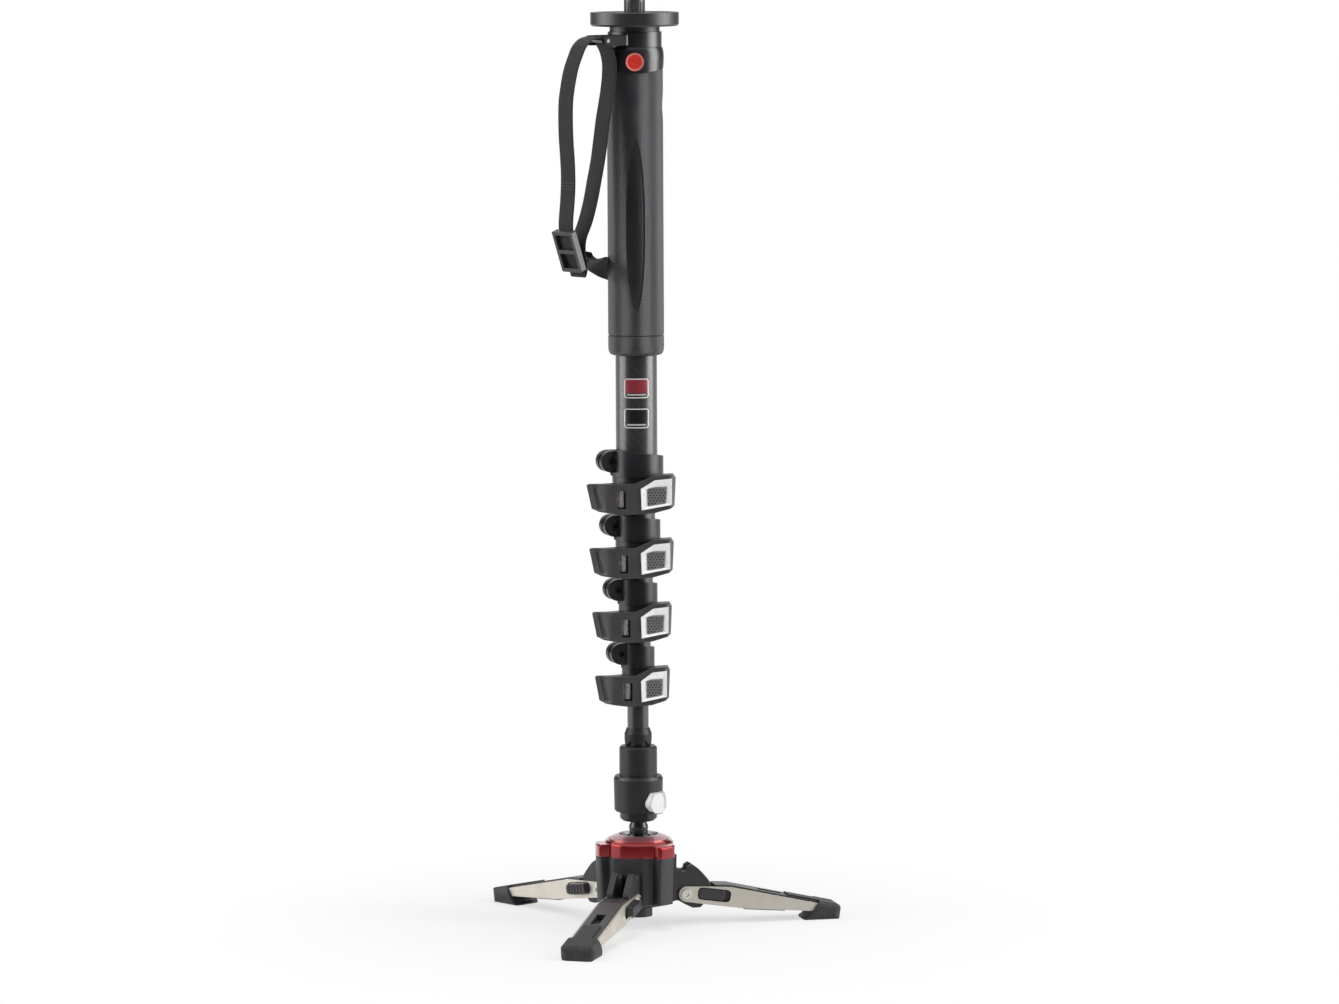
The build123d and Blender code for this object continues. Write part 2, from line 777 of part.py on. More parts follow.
def grip_crown():
    """Plastic crown: apron over the sleeve, web over the tube and a boss for the collar."""
    bore = tube_radius(0) + seat_fit
    web_low = tube_end(0) + face_fit
    profile = [
        Polyline((bore, web_low), (bore, crown_low), (crown_low_radius, crown_low),
                 (crown_low_radius, parting_middle_height)),
        Spline((crown_low_radius, parting_middle_height), (crown_bulge_radius, crown_bulge_height),
               (crown_top_radius, crown_top), tangents=[(0, 1), (-1, 2)]),
        Polyline((crown_top_radius, crown_top), (crown_boss_radius, crown_top),
                 (crown_boss_radius, neck_low() - face_fit), (0, neck_low() - face_fit),
                 (0, web_low), (bore, web_low)),
    ]
    body = revolve(Plane.XZ * make_face(profile), Axis.Z) & (
        parting_block() + bar(crown_boss_radius, crown_top, neck_low()))
    seat = crown_bulge_radius + badge_proud - badge_thickness - face_fit
    body -= drilled((0, -seat, badge_height), (0, -1, 0), badge_radius + seat_fit,
                    badge_thickness + overrun)
    return only_solid(body)


def crown_badge():
    """Plain round badge let into the front of the crown."""
    back = crown_bulge_radius + badge_proud - badge_thickness
    disc = drilled((0, -back, badge_height), (0, -1, 0), badge_radius, badge_thickness)
    floor = badge_thickness - badge_rim / 2
    disc -= drilled((0, -back - floor, badge_height), (0, -1, 0), badge_radius - badge_rim,
                    badge_thickness)
    return only_solid(disc)


def neck_low():
    return crown_top + strap_collar_height


def disc_low():
    return neck_low() + disc_neck_height


def disc_top():
    return disc_low() + disc_thickness


def strap_plane():
    """The upright plane of the strap loop: x outwards, y up, z along the strap bar."""
    return upright((0, 0, 0), direction(strap_side))


def bar_height():
    return crown_top + strap_collar_height / 2 - bar_radius / 4


def lug_half_width():
    return webbing_width / 2 + wrap_gap + lug_arm_thickness


def strap_collar():
    """Ring round the crown's boss, with a forked lug for the strap bar."""
    low, high = crown_top + face_fit, neck_low() - face_fit
    body = bar(strap_collar_radius, low, high)
    plane = strap_plane()
    half = strap_lug_height / 2
    arm = Rectangle(lug_bar_reach, strap_lug_height, align=(Align.MIN, Align.CENTER))
    arm += Pos(lug_bar_reach, 0) * Circle(half)
    block = plane * Pos(0, bar_height(), 0) * extrude(arm, amount=lug_half_width(), both=True)
    gap = Pos(lug_block_reach, bar_height(), 0) * Box(
        lug_bar_reach, 2 * strap_lug_height, webbing_width + 2 * wrap_gap, align=FORWARD)
    body += block - plane * gap
    body -= bar(crown_boss_radius + seat_fit, low - overrun, high + overrun)
    body -= plane * Pos(lug_bar_reach, bar_height(), 0) * Cylinder(
        bar_radius + seat_fit, 2 * lug_half_width() + overrun)
    return only_solid(body)


def strap_bar():
    return strap_plane() * Pos(lug_bar_reach, bar_height(), 0) * Cylinder(
        bar_radius, 2 * lug_half_width())


def top_disc():
    """Disc that carries a head, with a neck below and seats for the stud and its cap."""
    low, high = disc_low(), disc_top()
    body = turned([
        (0, neck_low()), (disc_neck_radius, neck_low()), (disc_neck_radius, low),
        (disc_radius - disc_low_round, low), (disc_radius, low + disc_low_round),
        (disc_radius, high), (0, high),
    ])
    body -= bar(cap_radius + cap_seat_gap, high - cap_seat_depth, high + overrun)
    body -= bar(stud_radius + seat_fit, neck_low() - overrun, high + overrun)
    body -= bar(stud_head_radius + seat_fit, neck_low() - overrun,
                neck_low() + stud_head_height + face_fit)
    return only_solid(body)


def stud_top():
    return disc_top() + stud_stand


def camera_stud():
    low = neck_low()
    return only_solid(turned([
        (0, low), (stud_head_radius, low), (stud_head_radius, low + stud_head_height),
        (stud_radius, low + stud_head_height), (stud_radius, stud_top() - stud_tip_chamfer),
        (stud_radius - stud_tip_chamfer, stud_top()), (0, stud_top()),
    ]))


def stud_cap():
    """Fluted protective cap that pulls off the stud."""
    low = disc_top() - cap_seat_depth + face_fit
    high = low + cap_height
    roof = stud_top() + cap_bore_gap
    body = turned([
        (stud_radius + cap_bore_gap, low), (cap_radius, low), (cap_radius, high - cap_chamfer),
        (cap_radius - cap_chamfer, high), (0, high), (0, roof), (stud_radius + cap_bore_gap, roof),
    ])
    flute = Pos(cap_radius, 0, low - overrun) * Rot(0, 0, 45) * Box(
        cap_flute_depth * math.sqrt(2), cap_flute_depth * math.sqrt(2),
        cap_height - cap_chamfer, align=CENTRED_LOW)
    for turn in range(cap_flute_count):
        body -= Rot(0, 0, turn * 360 / cap_flute_count) * flute
    return only_solid(body)


# Wrist strap and buckle

def strap_point(share):
    """A point of the loop's plane from shares of its reach and drop from the bar."""
    reach_share, drop_share = share
    return (lug_bar_reach + strap_reach * reach_share,
            bar_height() - strap_drop * drop_share)


def wrist_strap():
    """Closed webbing loop round the bar, with a twisted tail that leaves above the fold."""
    wrap = bar_radius + wrap_gap + webbing_thickness / 2
    top = (lug_bar_reach, bar_height() + wrap)
    inside = (lug_bar_reach - wrap, bar_height())
    turn = math.sqrt(2) / 2 * wrap
    points = [top]
    points += [strap_point(share) for share in outer_strand_shares + inner_strand_shares]
    points.append(inside)
    band = Spline(*points, tangents=[(1, 0), (0, 1)],
                  tangent_scalars=[strap_end_pull_share, strap_end_pull_share])
    bend = ThreePointArc(inside, (lug_bar_reach - turn, bar_height() + turn), top)
    ribbon = trace(band, webbing_thickness) + trace(bend, webbing_thickness)
    loop = strap_plane() * extrude(ribbon, amount=webbing_width / 2, both=True)

    across = direction(strap_side + 90)
    root = strap_plane().from_local_coords(Vector(*strap_point(inner_strand_shares[4]), 0))
    start, run = root + Vector(*tail_start_step), Vector(*tail_run)
    sections = [Plane(origin=root, x_dir=across, z_dir=(start - root))
                * Rectangle(webbing_width, webbing_thickness)]
    level = run.cross(Vector(0, 0, 1)).normalized()
    rise = level.cross(run).normalized()
    for share, twist in tail_twists:
        turned_by = math.radians(twist)
        width = -level * math.cos(turned_by) - rise * math.sin(turned_by)
        sections.append(Plane(origin=start + run * share, x_dir=width, z_dir=run)
                        * Rectangle(webbing_width, webbing_thickness))
    tail = loft(sections, ruled=True)
    return only_solid(loop + tail)


def strap_buckle():
    """Ladder buckle on the outer strand: two rails, three bars and no moving tongue."""
    centre = strap_point((buckle_reach_share, buckle_drop_share))
    width = webbing_width + 2 * (buckle_gap + buckle_rail)
    frame = Box(buckle_depth, buckle_length, width)
    inner = buckle_length / 2 - buckle_bar
    window_length = inner - buckle_bar / 2
    behind = webbing_thickness / 2 + buckle_gap
    for side in (1, -1):
        middle = side * (buckle_bar / 2 + window_length / 2)
        frame -= Pos(0, middle, 0) * Box(2 * buckle_depth, window_length,
                                         width - 2 * buckle_rail)
    bar_depth = buckle_depth / 2
    frame -= Pos(-bar_depth, 0, 0) * Box(buckle_depth, 2 * buckle_length,
                                         width - 2 * buckle_rail)
    shift = behind + buckle_gap
    frame = fillet(frame.edges().filter_by(Axis.X).filter_by(
        lambda edge: abs(edge.center().Y) > inner and abs(edge.center().Z) > width / 2 - buckle_bar),
        buckle_bar / 2)
    placed = strap_plane() * Pos(*centre, 0) * Rot(0, 0, -buckle_lean) * Pos(shift, 0, 0) * frame
    return only_solid(placed)


# Foot of the column

def column_foot():
    """Flared socket for the last tube, notched for a spanner, with a threaded spigot."""
    spigot_low = socket_low - foot_spigot_length
    body = turned([
        (0, spigot_low), (foot_spigot_radius, spigot_low), (foot_spigot_radius, socket_low),
        (socket_radius - socket_notch_radius / 3, socket_low), (socket_radius, socket_floor),
        (socket_radius, socket_top - socket_flare), (socket_top_radius, socket_top),
        (0, socket_top),
    ])
    body -= bar(tube_radius(tube_count - 1) + seat_fit, socket_floor, socket_top + overrun)
    body -= bar(stem_spigot_radius, spigot_low - overrun, socket_floor - tube_wall)
    for turn in range(socket_notch_count):
        side = direction(turn * 360 / socket_notch_count)
        start = side * (socket_radius - socket_notch_radius / 2) + Vector(0, 0, socket_floor)
        body -= drilled(start, side, socket_notch_radius, overrun + socket_notch_radius)
    return only_solid(body)


def button_plane():
    """Origin on the column's axis at the button's middle height, z out through the button."""
    outwards = direction(button_side)
    return Plane(origin=(0, 0, button_middle), x_dir=direction(button_side + 90),
                 z_dir=outwards)


def button_outline(corners, fit=0):
    face = make_face(Polyline(*corners, close=True))
    return offset(face, amount=fit) if fit else face


def release_housing():
    """Housing with a sleeve above, a bore for the stem's spigot and a pocket for the button."""
    body = turned([
        (0, housing_low), (housing_low_radius - housing_bevel / 2, housing_low),
        (housing_low_radius, housing_low + housing_bevel / 2),
        (housing_radius, housing_body_top - housing_bevel),
        (housing_radius - housing_bevel / 2, housing_body_top),
        (housing_sleeve_radius, housing_body_top),
        (housing_sleeve_radius, housing_top - sleeve_chamfer),
        (housing_sleeve_radius - sleeve_chamfer, housing_top), (0, housing_top),
    ])
    body -= bar(housing_bore_radius, housing_low - overrun, housing_low + housing_bore_depth)
    spigot_low = socket_low - foot_spigot_length
    body -= bar(foot_spigot_radius + seat_fit, spigot_low - face_fit, housing_top + overrun)
    pocket = button_root - button_travel - button_gap
    body -= button_plane() * Pos(0, 0, pocket) * extrude(
        button_outline(button_shank_corners, button_gap), amount=housing_radius)
    return only_solid(body)


def release_button():
    """Faceted push button: an eight-sided shank and a slightly turned front facet."""
    outline = button_outline(button_shank_corners)
    shank = Pos(0, 0, button_root) * extrude(outline, amount=button_shoulder - button_root)
    front = Pos(0, 0, button_reach) * Rot(0, -button_face_lean, 0)
    cap = loft([Pos(0, 0, button_shoulder) * outline,
                front * button_outline(button_face_corners)], ruled=True)
    return only_solid(button_plane() * (shank + cap))


def stem():
    """Spigot, round flange, waisted neck with a bulb, and the post that enters the ball."""
    post_low = ball_height + ball_radius - ball_socket_depth + face_fit
    boss_low = stem_boss_low + face_fit
    flange_high = housing_low - 4 * face_fit
    profile = [
        Polyline((0, post_low), (stem_post_radius, post_low), (stem_post_radius, boss_low),
                 (stem_boss_radius, boss_low), (stem_boss_radius, stem_boss_top)),
        Spline((stem_boss_radius, stem_boss_top), (stem_bulb_radius, stem_bulb_height),
               (stem_neck_radius, stem_neck_height), tangents=[(0, 1), (0, 1)]),
        Polyline(
            (stem_neck_radius, stem_neck_height), (stem_neck_radius, flange_low),
            (flange_radius - flange_round, flange_low), (flange_radius, flange_low + flange_round),
            (flange_radius, flange_high), (stem_spigot_radius, flange_high),
            (stem_spigot_radius, stem_groove_height),
            (stem_spigot_radius - stem_groove_depth, stem_groove_height),
            (stem_spigot_radius - stem_groove_depth, stem_groove_height + stem_groove_width),
            (stem_spigot_radius, stem_groove_height + stem_groove_width),
            (stem_spigot_radius, stem_spigot_top), (0, stem_spigot_top), (0, post_low)),
    ]
    return only_solid(revolve(Plane.XZ * make_face(profile), Axis.Z))


def ball():
    socket_low_height = ball_height + ball_radius - ball_socket_depth
    body = Pos(0, 0, ball_height) * Sphere(ball_radius)
    body -= bar(stem_post_radius + seat_fit, socket_low_height, ball_height + 2 * ball_radius)
    body -= bar(2 * ball_radius, stem_boss_low, ball_height + 2 * ball_radius)
    return only_solid(body)


def ring_inner():
    return ball_radius + shell_gap


def cup_inner():
    return ring_inner() + ring_thickness + shell_gap


def tilt_ring():
    """Seat ring on the ball's belt: a band of a spherical shell."""
    centre = Pos(0, 0, ball_height)
    half = (ring_inner() + ring_thickness) * math.sin(math.radians(ring_half_angle))
    shell = centre * Sphere(ring_inner() + ring_thickness) - centre * Sphere(ring_inner())
    return only_solid(shell & bar(cup_inner(), ball_height - half, ball_height + half))


def pan_cup():
    """Cup that turns in the hub and carries the seat ring and the ball."""
    body = bar(cup_radius, cup_low, cup_high)
    body -= Pos(0, 0, ball_height) * Sphere(cup_inner())
    mouth = math.sqrt(cup_inner() ** 2 - (cup_high - ball_height) ** 2)
    body -= bar(mouth, cup_high - face_fit, cup_high + overrun)
    return only_solid(body)


# Hub and red collar

def block_face(inset=0):
    """One block of the outline, along +X, with rounded outer corners."""
    reach, half = block_reach - inset, block_half_width - inset
    face = Circle(reach) & Rectangle(reach, 2 * half, align=(Align.MIN, Align.CENTER))
    outer = face.vertices().filter_by(lambda corner: corner.X > reach / 2)
    return fillet(outer, block_corner)


def body_outline(inset=0, brackets=False):
    """Ring with three blocks, and where asked with a flat bracket in front of each leg."""
    face = Circle(body_ring_radius - inset)
    for azimuth in leg_azimuths:
        face += Rot(0, 0, azimuth + 60) * block_face(inset)
        if brackets:
            face += Rot(0, 0, azimuth) * Rectangle(
                bracket_reach - inset, 2 * bracket_half_width, align=(Align.MIN, Align.CENTER))
    return face


def red_collar():
    """Anodised ring: rim with three blocks, shoulder and cone up to the round mouth."""
    low = hub_top + face_fit
    reach = block_reach
    blank = Pos(0, 0, low) * extrude(body_outline(), amount=collar_top - low)
    dome = turned([
        (0, low), (reach + overrun, low), (reach + overrun, collar_rim_height - collar_rim_bevel),
        (reach, collar_rim_height - collar_rim_bevel), (reach - collar_rim_bevel, collar_rim_height),
        (body_ring_radius, collar_step_height),
        (collar_shoulder_radius, collar_shoulder_height), (collar_cone_radius, collar_shoulder_height),
        (collar_cone_radius, collar_cone_height),
        (collar_mouth_radius + collar_mouth_land, collar_top), (0, collar_top),
    ])
    body = blank & dome
    body -= bar(collar_mouth_radius, low - overrun, collar_top + overrun)
    body -= bar(collar_bore_radius, low - overrun, cup_high + overrun)
    return only_solid(body)


def cam_ear():
    """Notched cam cheeks of one leg, in the upright plane along +X."""
    def placed(points):
        return [(leg_pin_reach + out, leg_pin_height + up) for out, up in points]

    low, notch = placed(cam_low_points), placed(cam_notch_points)
    inside = ear_root
    outline = [
        Polyline((inside, low[0][1]), *low),
        Spline(*placed(cam_round_points)),
        Polyline(*notch, (inside, notch[-1][1]), (inside, low[0][1])),
    ]
    return extrude(Plane.XZ * make_face(outline), amount=cam_half, both=True)


def cam_gap():
    """Room between the two cheeks of a cam ear, with a pocket in the hub behind it."""
    reach = leg_pin_reach + cam_clear_radius
    gap = Pos(cam_gap_start, 0, cam_gap_low) * Box(
        reach, 2 * cam_gap_half, cam_gap_high - cam_gap_low, align=(Align.MIN, Align.CENTER, Align.MIN))
    gap += Pos(bracket_reach, 0, 0) * Box(
        reach, 2 * cam_gap_half, hub_top, align=(Align.MIN, Align.CENTER, Align.MIN))
    return gap


def hub():
    """Body with three cam ears, a bore for the cup and a boss below."""
    outline = body_outline(hub_inset, brackets=True)
    top = Pos(0, 0, hub_top) * outline
    shoulder = Pos(0, 0, hub_shoulder_height) * scale(outline, hub_taper_share)
    belly = Pos(0, 0, hub_belly_low) * scale(outline, hub_belly_share)
    body = loft([shoulder, top], ruled=True) + loft([belly, shoulder], ruled=True)
    body += bar(hub_boss_radius, hub_boss_low, hub_shoulder_height)
    for azimuth in leg_azimuths:
        body += Rot(0, 0, azimuth) * cam_ear()
        body -= Rot(0, 0, azimuth) * cam_gap()
    for azimuth in leg_azimuths:
        side = direction(azimuth + 90)
        start = direction(azimuth) * leg_pin_reach + Vector(0, 0, leg_pin_height)
        start -= side * (cam_half + overrun)
        body -= drilled(start, side, leg_pin_radius + seat_fit, 2 * (cam_half + overrun))
    body -= bar(cup_radius + running_fit, cup_low - face_fit, hub_top + overrun)
    return only_solid(body)


# Legs, drawn along +X with the hinge pin at the origin and then put in place

def leg_place(leg):
    return (Rot(0, 0, leg_azimuths[leg]) * Pos(leg_pin_reach, 0, leg_pin_height)
            * Rot(0, leg_slope, 0))


def outer_half():
    return leg_inner_half + plate_thickness


def plate_top(x):
    """Height of the plate's upper edge beyond its knee."""
    share = (x - plate_knee) / (plate_length - plate_knee)
    return plate_knee_height + (plate_tip_height - plate_knee_height) * share


def plate_low(x):
    """Height of the plate's lower edge beyond its belly."""
    share = (x - plate_belly_end) / (plate_length - plate_belly_end)
    return -plate_belly_drop + (plate_belly_drop - plate_tip_drop) * share


def across(face, half):
    """Extrude an upright face both ways across the leg."""
    return extrude(Plane.XZ * face, amount=half, both=True)


def leg_channel():
    """Two aluminium side plates joined by a web under the leg."""
    profile = make_face([
        Polyline((0, plate_end_radius), (plate_knee, plate_knee_height),
                 (plate_length, plate_tip_height), (plate_length, -plate_tip_drop),
                 (plate_belly_end, -plate_belly_drop), (plate_belly_start, -plate_belly_drop),
                 (0, -plate_end_radius)),
        ThreePointArc((0, -plate_end_radius), (-plate_end_radius, 0), (0, plate_end_radius)),
    ])
    body = across(profile, outer_half())
    body -= Box(2 * (plate_length + overrun), 2 * leg_inner_half, 2 * plate_length)
    body += Pos(web_start, 0, -plate_belly_drop) * Box(
        web_end - web_start, 2 * leg_inner_half + plate_thickness, web_thickness,
        align=(Align.MIN, Align.CENTER, Align.MIN))
    body -= Rot(90, 0, 0) * Cylinder(leg_pin_radius + running_fit, 2 * (outer_half() + overrun))
    slot_length = latch_length + latch_travel + 2 * latch_gap
    slot = RectangleRounded(slot_length, latch_height + 2 * latch_gap, latch_corner + latch_gap)
    slot = Pos(latch_start - latch_gap + slot_length / 2, latch_middle) * slot
    body -= across(slot, outer_half() + overrun)
    return only_solid(body)


def leg_cover():
    """Plastic filling of the channel, proud above and below, with a deep slot on top."""
    top = cover_proud
    profile = make_face(Polyline(
        (cover_start, plate_knee_height), (plate_knee, plate_knee_height + top),
        (plate_length, plate_tip_height + top), (plate_length, plate_low(plate_length) + face_fit),
        (cover_belly_end, plate_low(cover_belly_end)),
        (cover_belly_end, plate_low(cover_belly_end) - cover_belly_proud),
        (plate_belly_end, -plate_belly_drop - cover_belly_proud),
        (web_end + cover_gap, -plate_belly_drop - cover_belly_proud),
        (web_end + cover_gap, -plate_belly_drop + web_thickness + cover_gap),
        (cover_start, -plate_belly_drop + web_thickness + cover_gap), close=True))
    body = across(profile, leg_inner_half - cover_gap)
    room_end = latch_block_end() + latch_travel + cover_gap
    room_height = latch_height + 2 * latch_gap
    body -= Pos(cover_start - overrun, 0, latch_middle) * Box(
        room_end - cover_start + overrun, 2 * outer_half(), room_height, align=FORWARD)
    side_end = latch_start + latch_length + latch_travel + cover_gap
    for side in (1, -1):
        body -= Pos(cover_start, side * leg_inner_half, latch_middle) * Box(
            side_end - cover_start, plate_thickness, room_height, align=FORWARD)
    slot_end = cover_slot_start + cover_slot_length
    slot = make_face(Polyline(
        (cover_slot_start, plate_top(cover_slot_start) + top - cover_slot_depth),
        (slot_end, plate_top(slot_end) + top - cover_slot_end_depth),
        (slot_end, plate_knee_height + overrun), (cover_slot_start, plate_knee_height + overrun),
        close=True))
    body -= across(slot, cover_slot_width / 2)
    body -= Rot(90, 0, 0) * Cylinder(cam_clear_radius, 2 * outer_half())
    return only_solid(body)


def latch_block_end():
    """The block between the plates stops where the latch's round corners start."""
    return latch_start + latch_length - latch_corner


def leg_latch():
    """Sliding cross piece: block between the plates, ribbed thumb tab and flush button."""
    inside = leg_inner_half - cover_gap
    body = Pos(latch_block_start, 0, latch_middle) * Box(
        latch_block_end() - latch_block_start, 2 * inside + plate_thickness, latch_height,
        align=FORWARD)
    cheek = plate_thickness / 2
    outer = outer_half() + latch_thumb_reach
    tab_root = RectangleRounded(latch_length, latch_height, latch_corner)
    tab_tip = RectangleRounded(latch_length - 2 * latch_thumb_taper,
                               latch_height - latch_thumb_thin, latch_corner - latch_thumb_taper)
    middle = (latch_start + latch_length / 2, latch_middle)
    for side, reach in ((1, outer), (-1, outer_half() + latch_flush_reach)):
        root = Plane(origin=(middle[0], side * (inside + cover_gap), middle[1]),
                     x_dir=(1, 0, 0), z_dir=(0, side, 0))
        depth = reach - inside - cover_gap
        body += root * extrude(tab_root, amount=cheek)
        body += root * loft([Pos(0, 0, cheek) * tab_root, Pos(0, 0, depth) * tab_tip], ruled=True)
    pitch = (latch_length - 2 * latch_thumb_taper) / (latch_rib_count + 1)
    for rib in range(latch_rib_count):
        x = latch_start + latch_thumb_taper + pitch * (rib + 1)
        body -= Pos(x, outer, latch_middle) * Box(latch_rib_width, 2 * latch_rib_depth,
                                                  latch_height + overrun)
    hollow = Rot(90, 0, 0) * Cylinder(cam_clear_radius, 2 * inside)
    return only_solid(body - hollow)


def sole_height(x, z=0):
    """Local height of a level that lies z above the floor, at a place along the leg."""
    turn = math.radians(leg_slope)
    return (x * math.sin(turn) + z - leg_pin_height) / math.cos(turn)


def boot_top(x):
    return plate_top(x) + cover_proud + boot_top_proud


def boot_section(x):
    """Barrel-shaped cross section of the boot at a place along the leg."""
    low, high = sole_height(x, -boot_trim), boot_top(x)
    half, edge = boot_half_width, boot_edge_half_width
    middle = (low + high) / 2
    outline = make_face([
        Line((-edge, low), (edge, low)),
        ThreePointArc((edge, low), (half, middle), (edge, high)),
        Line((edge, high), (-edge, high)),
        ThreePointArc((-edge, high), (-half, middle), (-edge, low)),
    ])
    return Plane(origin=(x, 0, 0), x_dir=(0, 1, 0), z_dir=(1, 0, 0)) * fillet(
        outline.vertices(), boot_edge_round)


def leg_foot():
    """Rubber boot: flat sole on the floor, rounded toe, socket for the leg and a tongue."""
    heel = boot_start - boot_heel_length
    front = boot_start + boot_front_slant
    toe = boot_end - boot_toe_round
    blank = loft([boot_section(heel), boot_section(boot_end + overrun)], ruled=True)
    side = make_face([
        Polyline((front, boot_top(front) + overrun), (front, boot_top(front)),
                 (boot_start, sole_height(boot_start, boot_heel_height)),
                 (heel, sole_height(heel, boot_heel_height / 2)),
                 (heel, sole_height(heel)), (boot_end, sole_height(boot_end)),
                 (boot_end, sole_height(boot_end, boot_toe_low))),
        Spline((boot_end, sole_height(boot_end, boot_toe_low)), (toe, boot_top(toe)),
               tangents=[(0, 1), (-1, 0)]),
        Polyline((toe, boot_top(toe)), (toe, boot_top(front) + overrun),
                 (front, boot_top(front) + overrun)),
    ])
    plan = Pos((heel + boot_end) / 2, 0) * RectangleRounded(
        boot_end - heel, 2 * boot_half_width, boot_plan_corner)
    body = blank & across(side, 2 * boot_half_width)
    body &= extrude(plan, amount=2 * boot_half_width, both=True)
    tongue = make_face(Polyline(
        (boot_tongue_start, plate_top(boot_tongue_start) + cover_proud + boot_fit),
        (boot_tongue_start, boot_top(boot_tongue_start)), (front + overrun, boot_top(front + overrun)),
        (front + overrun, plate_top(front + overrun) + cover_proud + boot_fit), close=True))
    body += across(tongue, boot_tongue_half_width)
    end = plate_length + boot_fit
    start = boot_tongue_start - overrun
    socket = make_face(Polyline(
        (start, plate_top(start) + cover_proud + boot_fit), (end, plate_top(end) + cover_proud + boot_fit),
        (end, plate_low(end) - boot_fit), (start, plate_low(start) - boot_fit), close=True))
    body -= across(socket, outer_half() + boot_fit)
    return only_solid(body)


def leg_pin(leg):
    """Hinge pin with a round head and a six-sided socket at each end."""
    half = outer_half() + running_fit
    total = half + leg_pin_head_height
    pin = Cylinder(leg_pin_radius, 2 * half)
    for side in (1, -1):
        head = Pos(0, 0, side * (half + leg_pin_head_height / 2)) * Cylinder(
            leg_pin_head_radius, leg_pin_head_height)
        socket = extrude(RegularPolygon(leg_pin_socket / 2, 6, major_radius=False),
                         amount=leg_pin_head_height, both=True)
        pin += head
        pin -= Pos(0, 0, side * total) * socket
    return only_solid(leg_place(leg) * Rot(90, 0, 0) * pin)


# Nodes

def nodes():
    """Every node of the part and its solids."""
    parts = {
        "camera_stud": [camera_stud()],
        "stud_cap": [stud_cap()],
        "top_disc": [top_disc()],
        "strap_collar": [strap_collar()],
        "grip_crown": [grip_crown()],
        "crown_badge": [crown_badge()],
        "grip_sleeve": [grip_sleeve()],
        "wrist_strap": [wrist_strap()],
        "strap_metal": [strap_buckle(), only_solid(strap_bar())],
        "column_foot": [column_foot()],
        "release_housing": [release_housing()],
        "release_button": [release_button()],
        "stem": [stem()],
        "ball": [ball()],
        "tilt_ring": [tilt_ring()],
        "pan_cup": [pan_cup()],
        "hub": [hub()],
        "red_collar": [red_collar()],
        "leg_pins": [leg_pin(leg) for leg in LEGS],
    }
    for n in range(tube_count):
        parts[f"tube_{n + 1}"] = [tube(n)]
        if n > 0:
            parts[f"shims_{n + 1}"] = shims(n)
    for n in LOCKS:
        parts[f"lock{n + 1}_collar"] = [lock_collar(n)]
        parts[f"lock{n + 1}_fasteners"] = lock_fasteners(n)
        parts[f"lock{n + 1}_lever"] = [lever(n)]
        parts[f"lock{n + 1}_bezel"] = [lever_bezel(n)]
        parts[f"lock{n + 1}_pad"] = [lever_pad(n)]
    pieces = {"channel": leg_channel(), "cover": leg_cover(), "foot": leg_foot(),
              "latch": leg_latch()}
    for leg in LEGS:
        for piece, solid in pieces.items():
            parts[f"{leg_names[leg]}_leg_{piece}"] = [leg_place(leg) * solid]
    return parts


os.makedirs("parts", exist_ok=True)
for name, solids in nodes().items():
    shape = solids[0] if len(solids) == 1 else Compound(children=solids)
    export_step(shape, f"parts/{name}.step")
print("nodes written:", len(os.listdir("parts")))
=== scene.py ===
# %% [markdown]
# # Dressing a camera monopod
# The CAD model already holds every piece of this monopod in its place: five nested
# tubes with four clamp levers, a foam grip with a wrist strap, a ball foot and three
# folding legs. This lesson gives each piece the surface of the real one, makes the
# woven strap that CAD only suggests, and lights it all in a plain white studio.

# %% Load the frame
import math

import bmesh
import bpy
from mathutils import Matrix, Vector
from mathutils.noise import noise
from numpy import interp


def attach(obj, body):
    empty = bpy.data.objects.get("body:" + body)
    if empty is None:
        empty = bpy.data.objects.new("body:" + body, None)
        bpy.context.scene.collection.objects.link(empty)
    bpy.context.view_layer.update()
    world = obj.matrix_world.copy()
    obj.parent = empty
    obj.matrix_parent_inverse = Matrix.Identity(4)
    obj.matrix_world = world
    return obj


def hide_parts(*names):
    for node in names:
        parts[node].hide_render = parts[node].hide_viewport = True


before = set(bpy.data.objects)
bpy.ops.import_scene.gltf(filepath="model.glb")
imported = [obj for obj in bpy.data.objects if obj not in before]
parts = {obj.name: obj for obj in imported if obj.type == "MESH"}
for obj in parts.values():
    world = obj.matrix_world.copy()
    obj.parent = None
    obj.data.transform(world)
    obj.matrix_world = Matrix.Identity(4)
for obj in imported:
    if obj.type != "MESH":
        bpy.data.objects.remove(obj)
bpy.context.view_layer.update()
scene = bpy.context.scene
mm = 0.001
print("pieces in the frame:", len(parts))

# %% [markdown]
# ## The camera
# The picture was taken from almost five metres away with a long lens, a little above
# the middle of the column, so the tube's sides stay nearly parallel. The camera is set
# by its place and three angles. A turned Empty as a target would do as well, but the
# angles say the same in fewer objects. Every new object goes in through one helper.

# %% Camera
def add_object(name, data):
    """Links a new object to the scene."""
    made = bpy.data.objects.new(name, data)
    scene.collection.objects.link(made)
    return made


camera_place = Vector((0, -4.770, 0.867))
turn, dip, roll = (math.radians(angle) for angle in (0.3112, 6.2905, -0.2524))
sight = Vector((math.sin(turn) * math.cos(dip), math.cos(turn) * math.cos(dip), -math.sin(dip)))
level = Vector((math.cos(turn), -math.sin(turn), 0))
above = level.cross(sight)
right = level * math.cos(roll) + above * math.sin(roll)
top = above * math.cos(roll) - level * math.sin(roll)

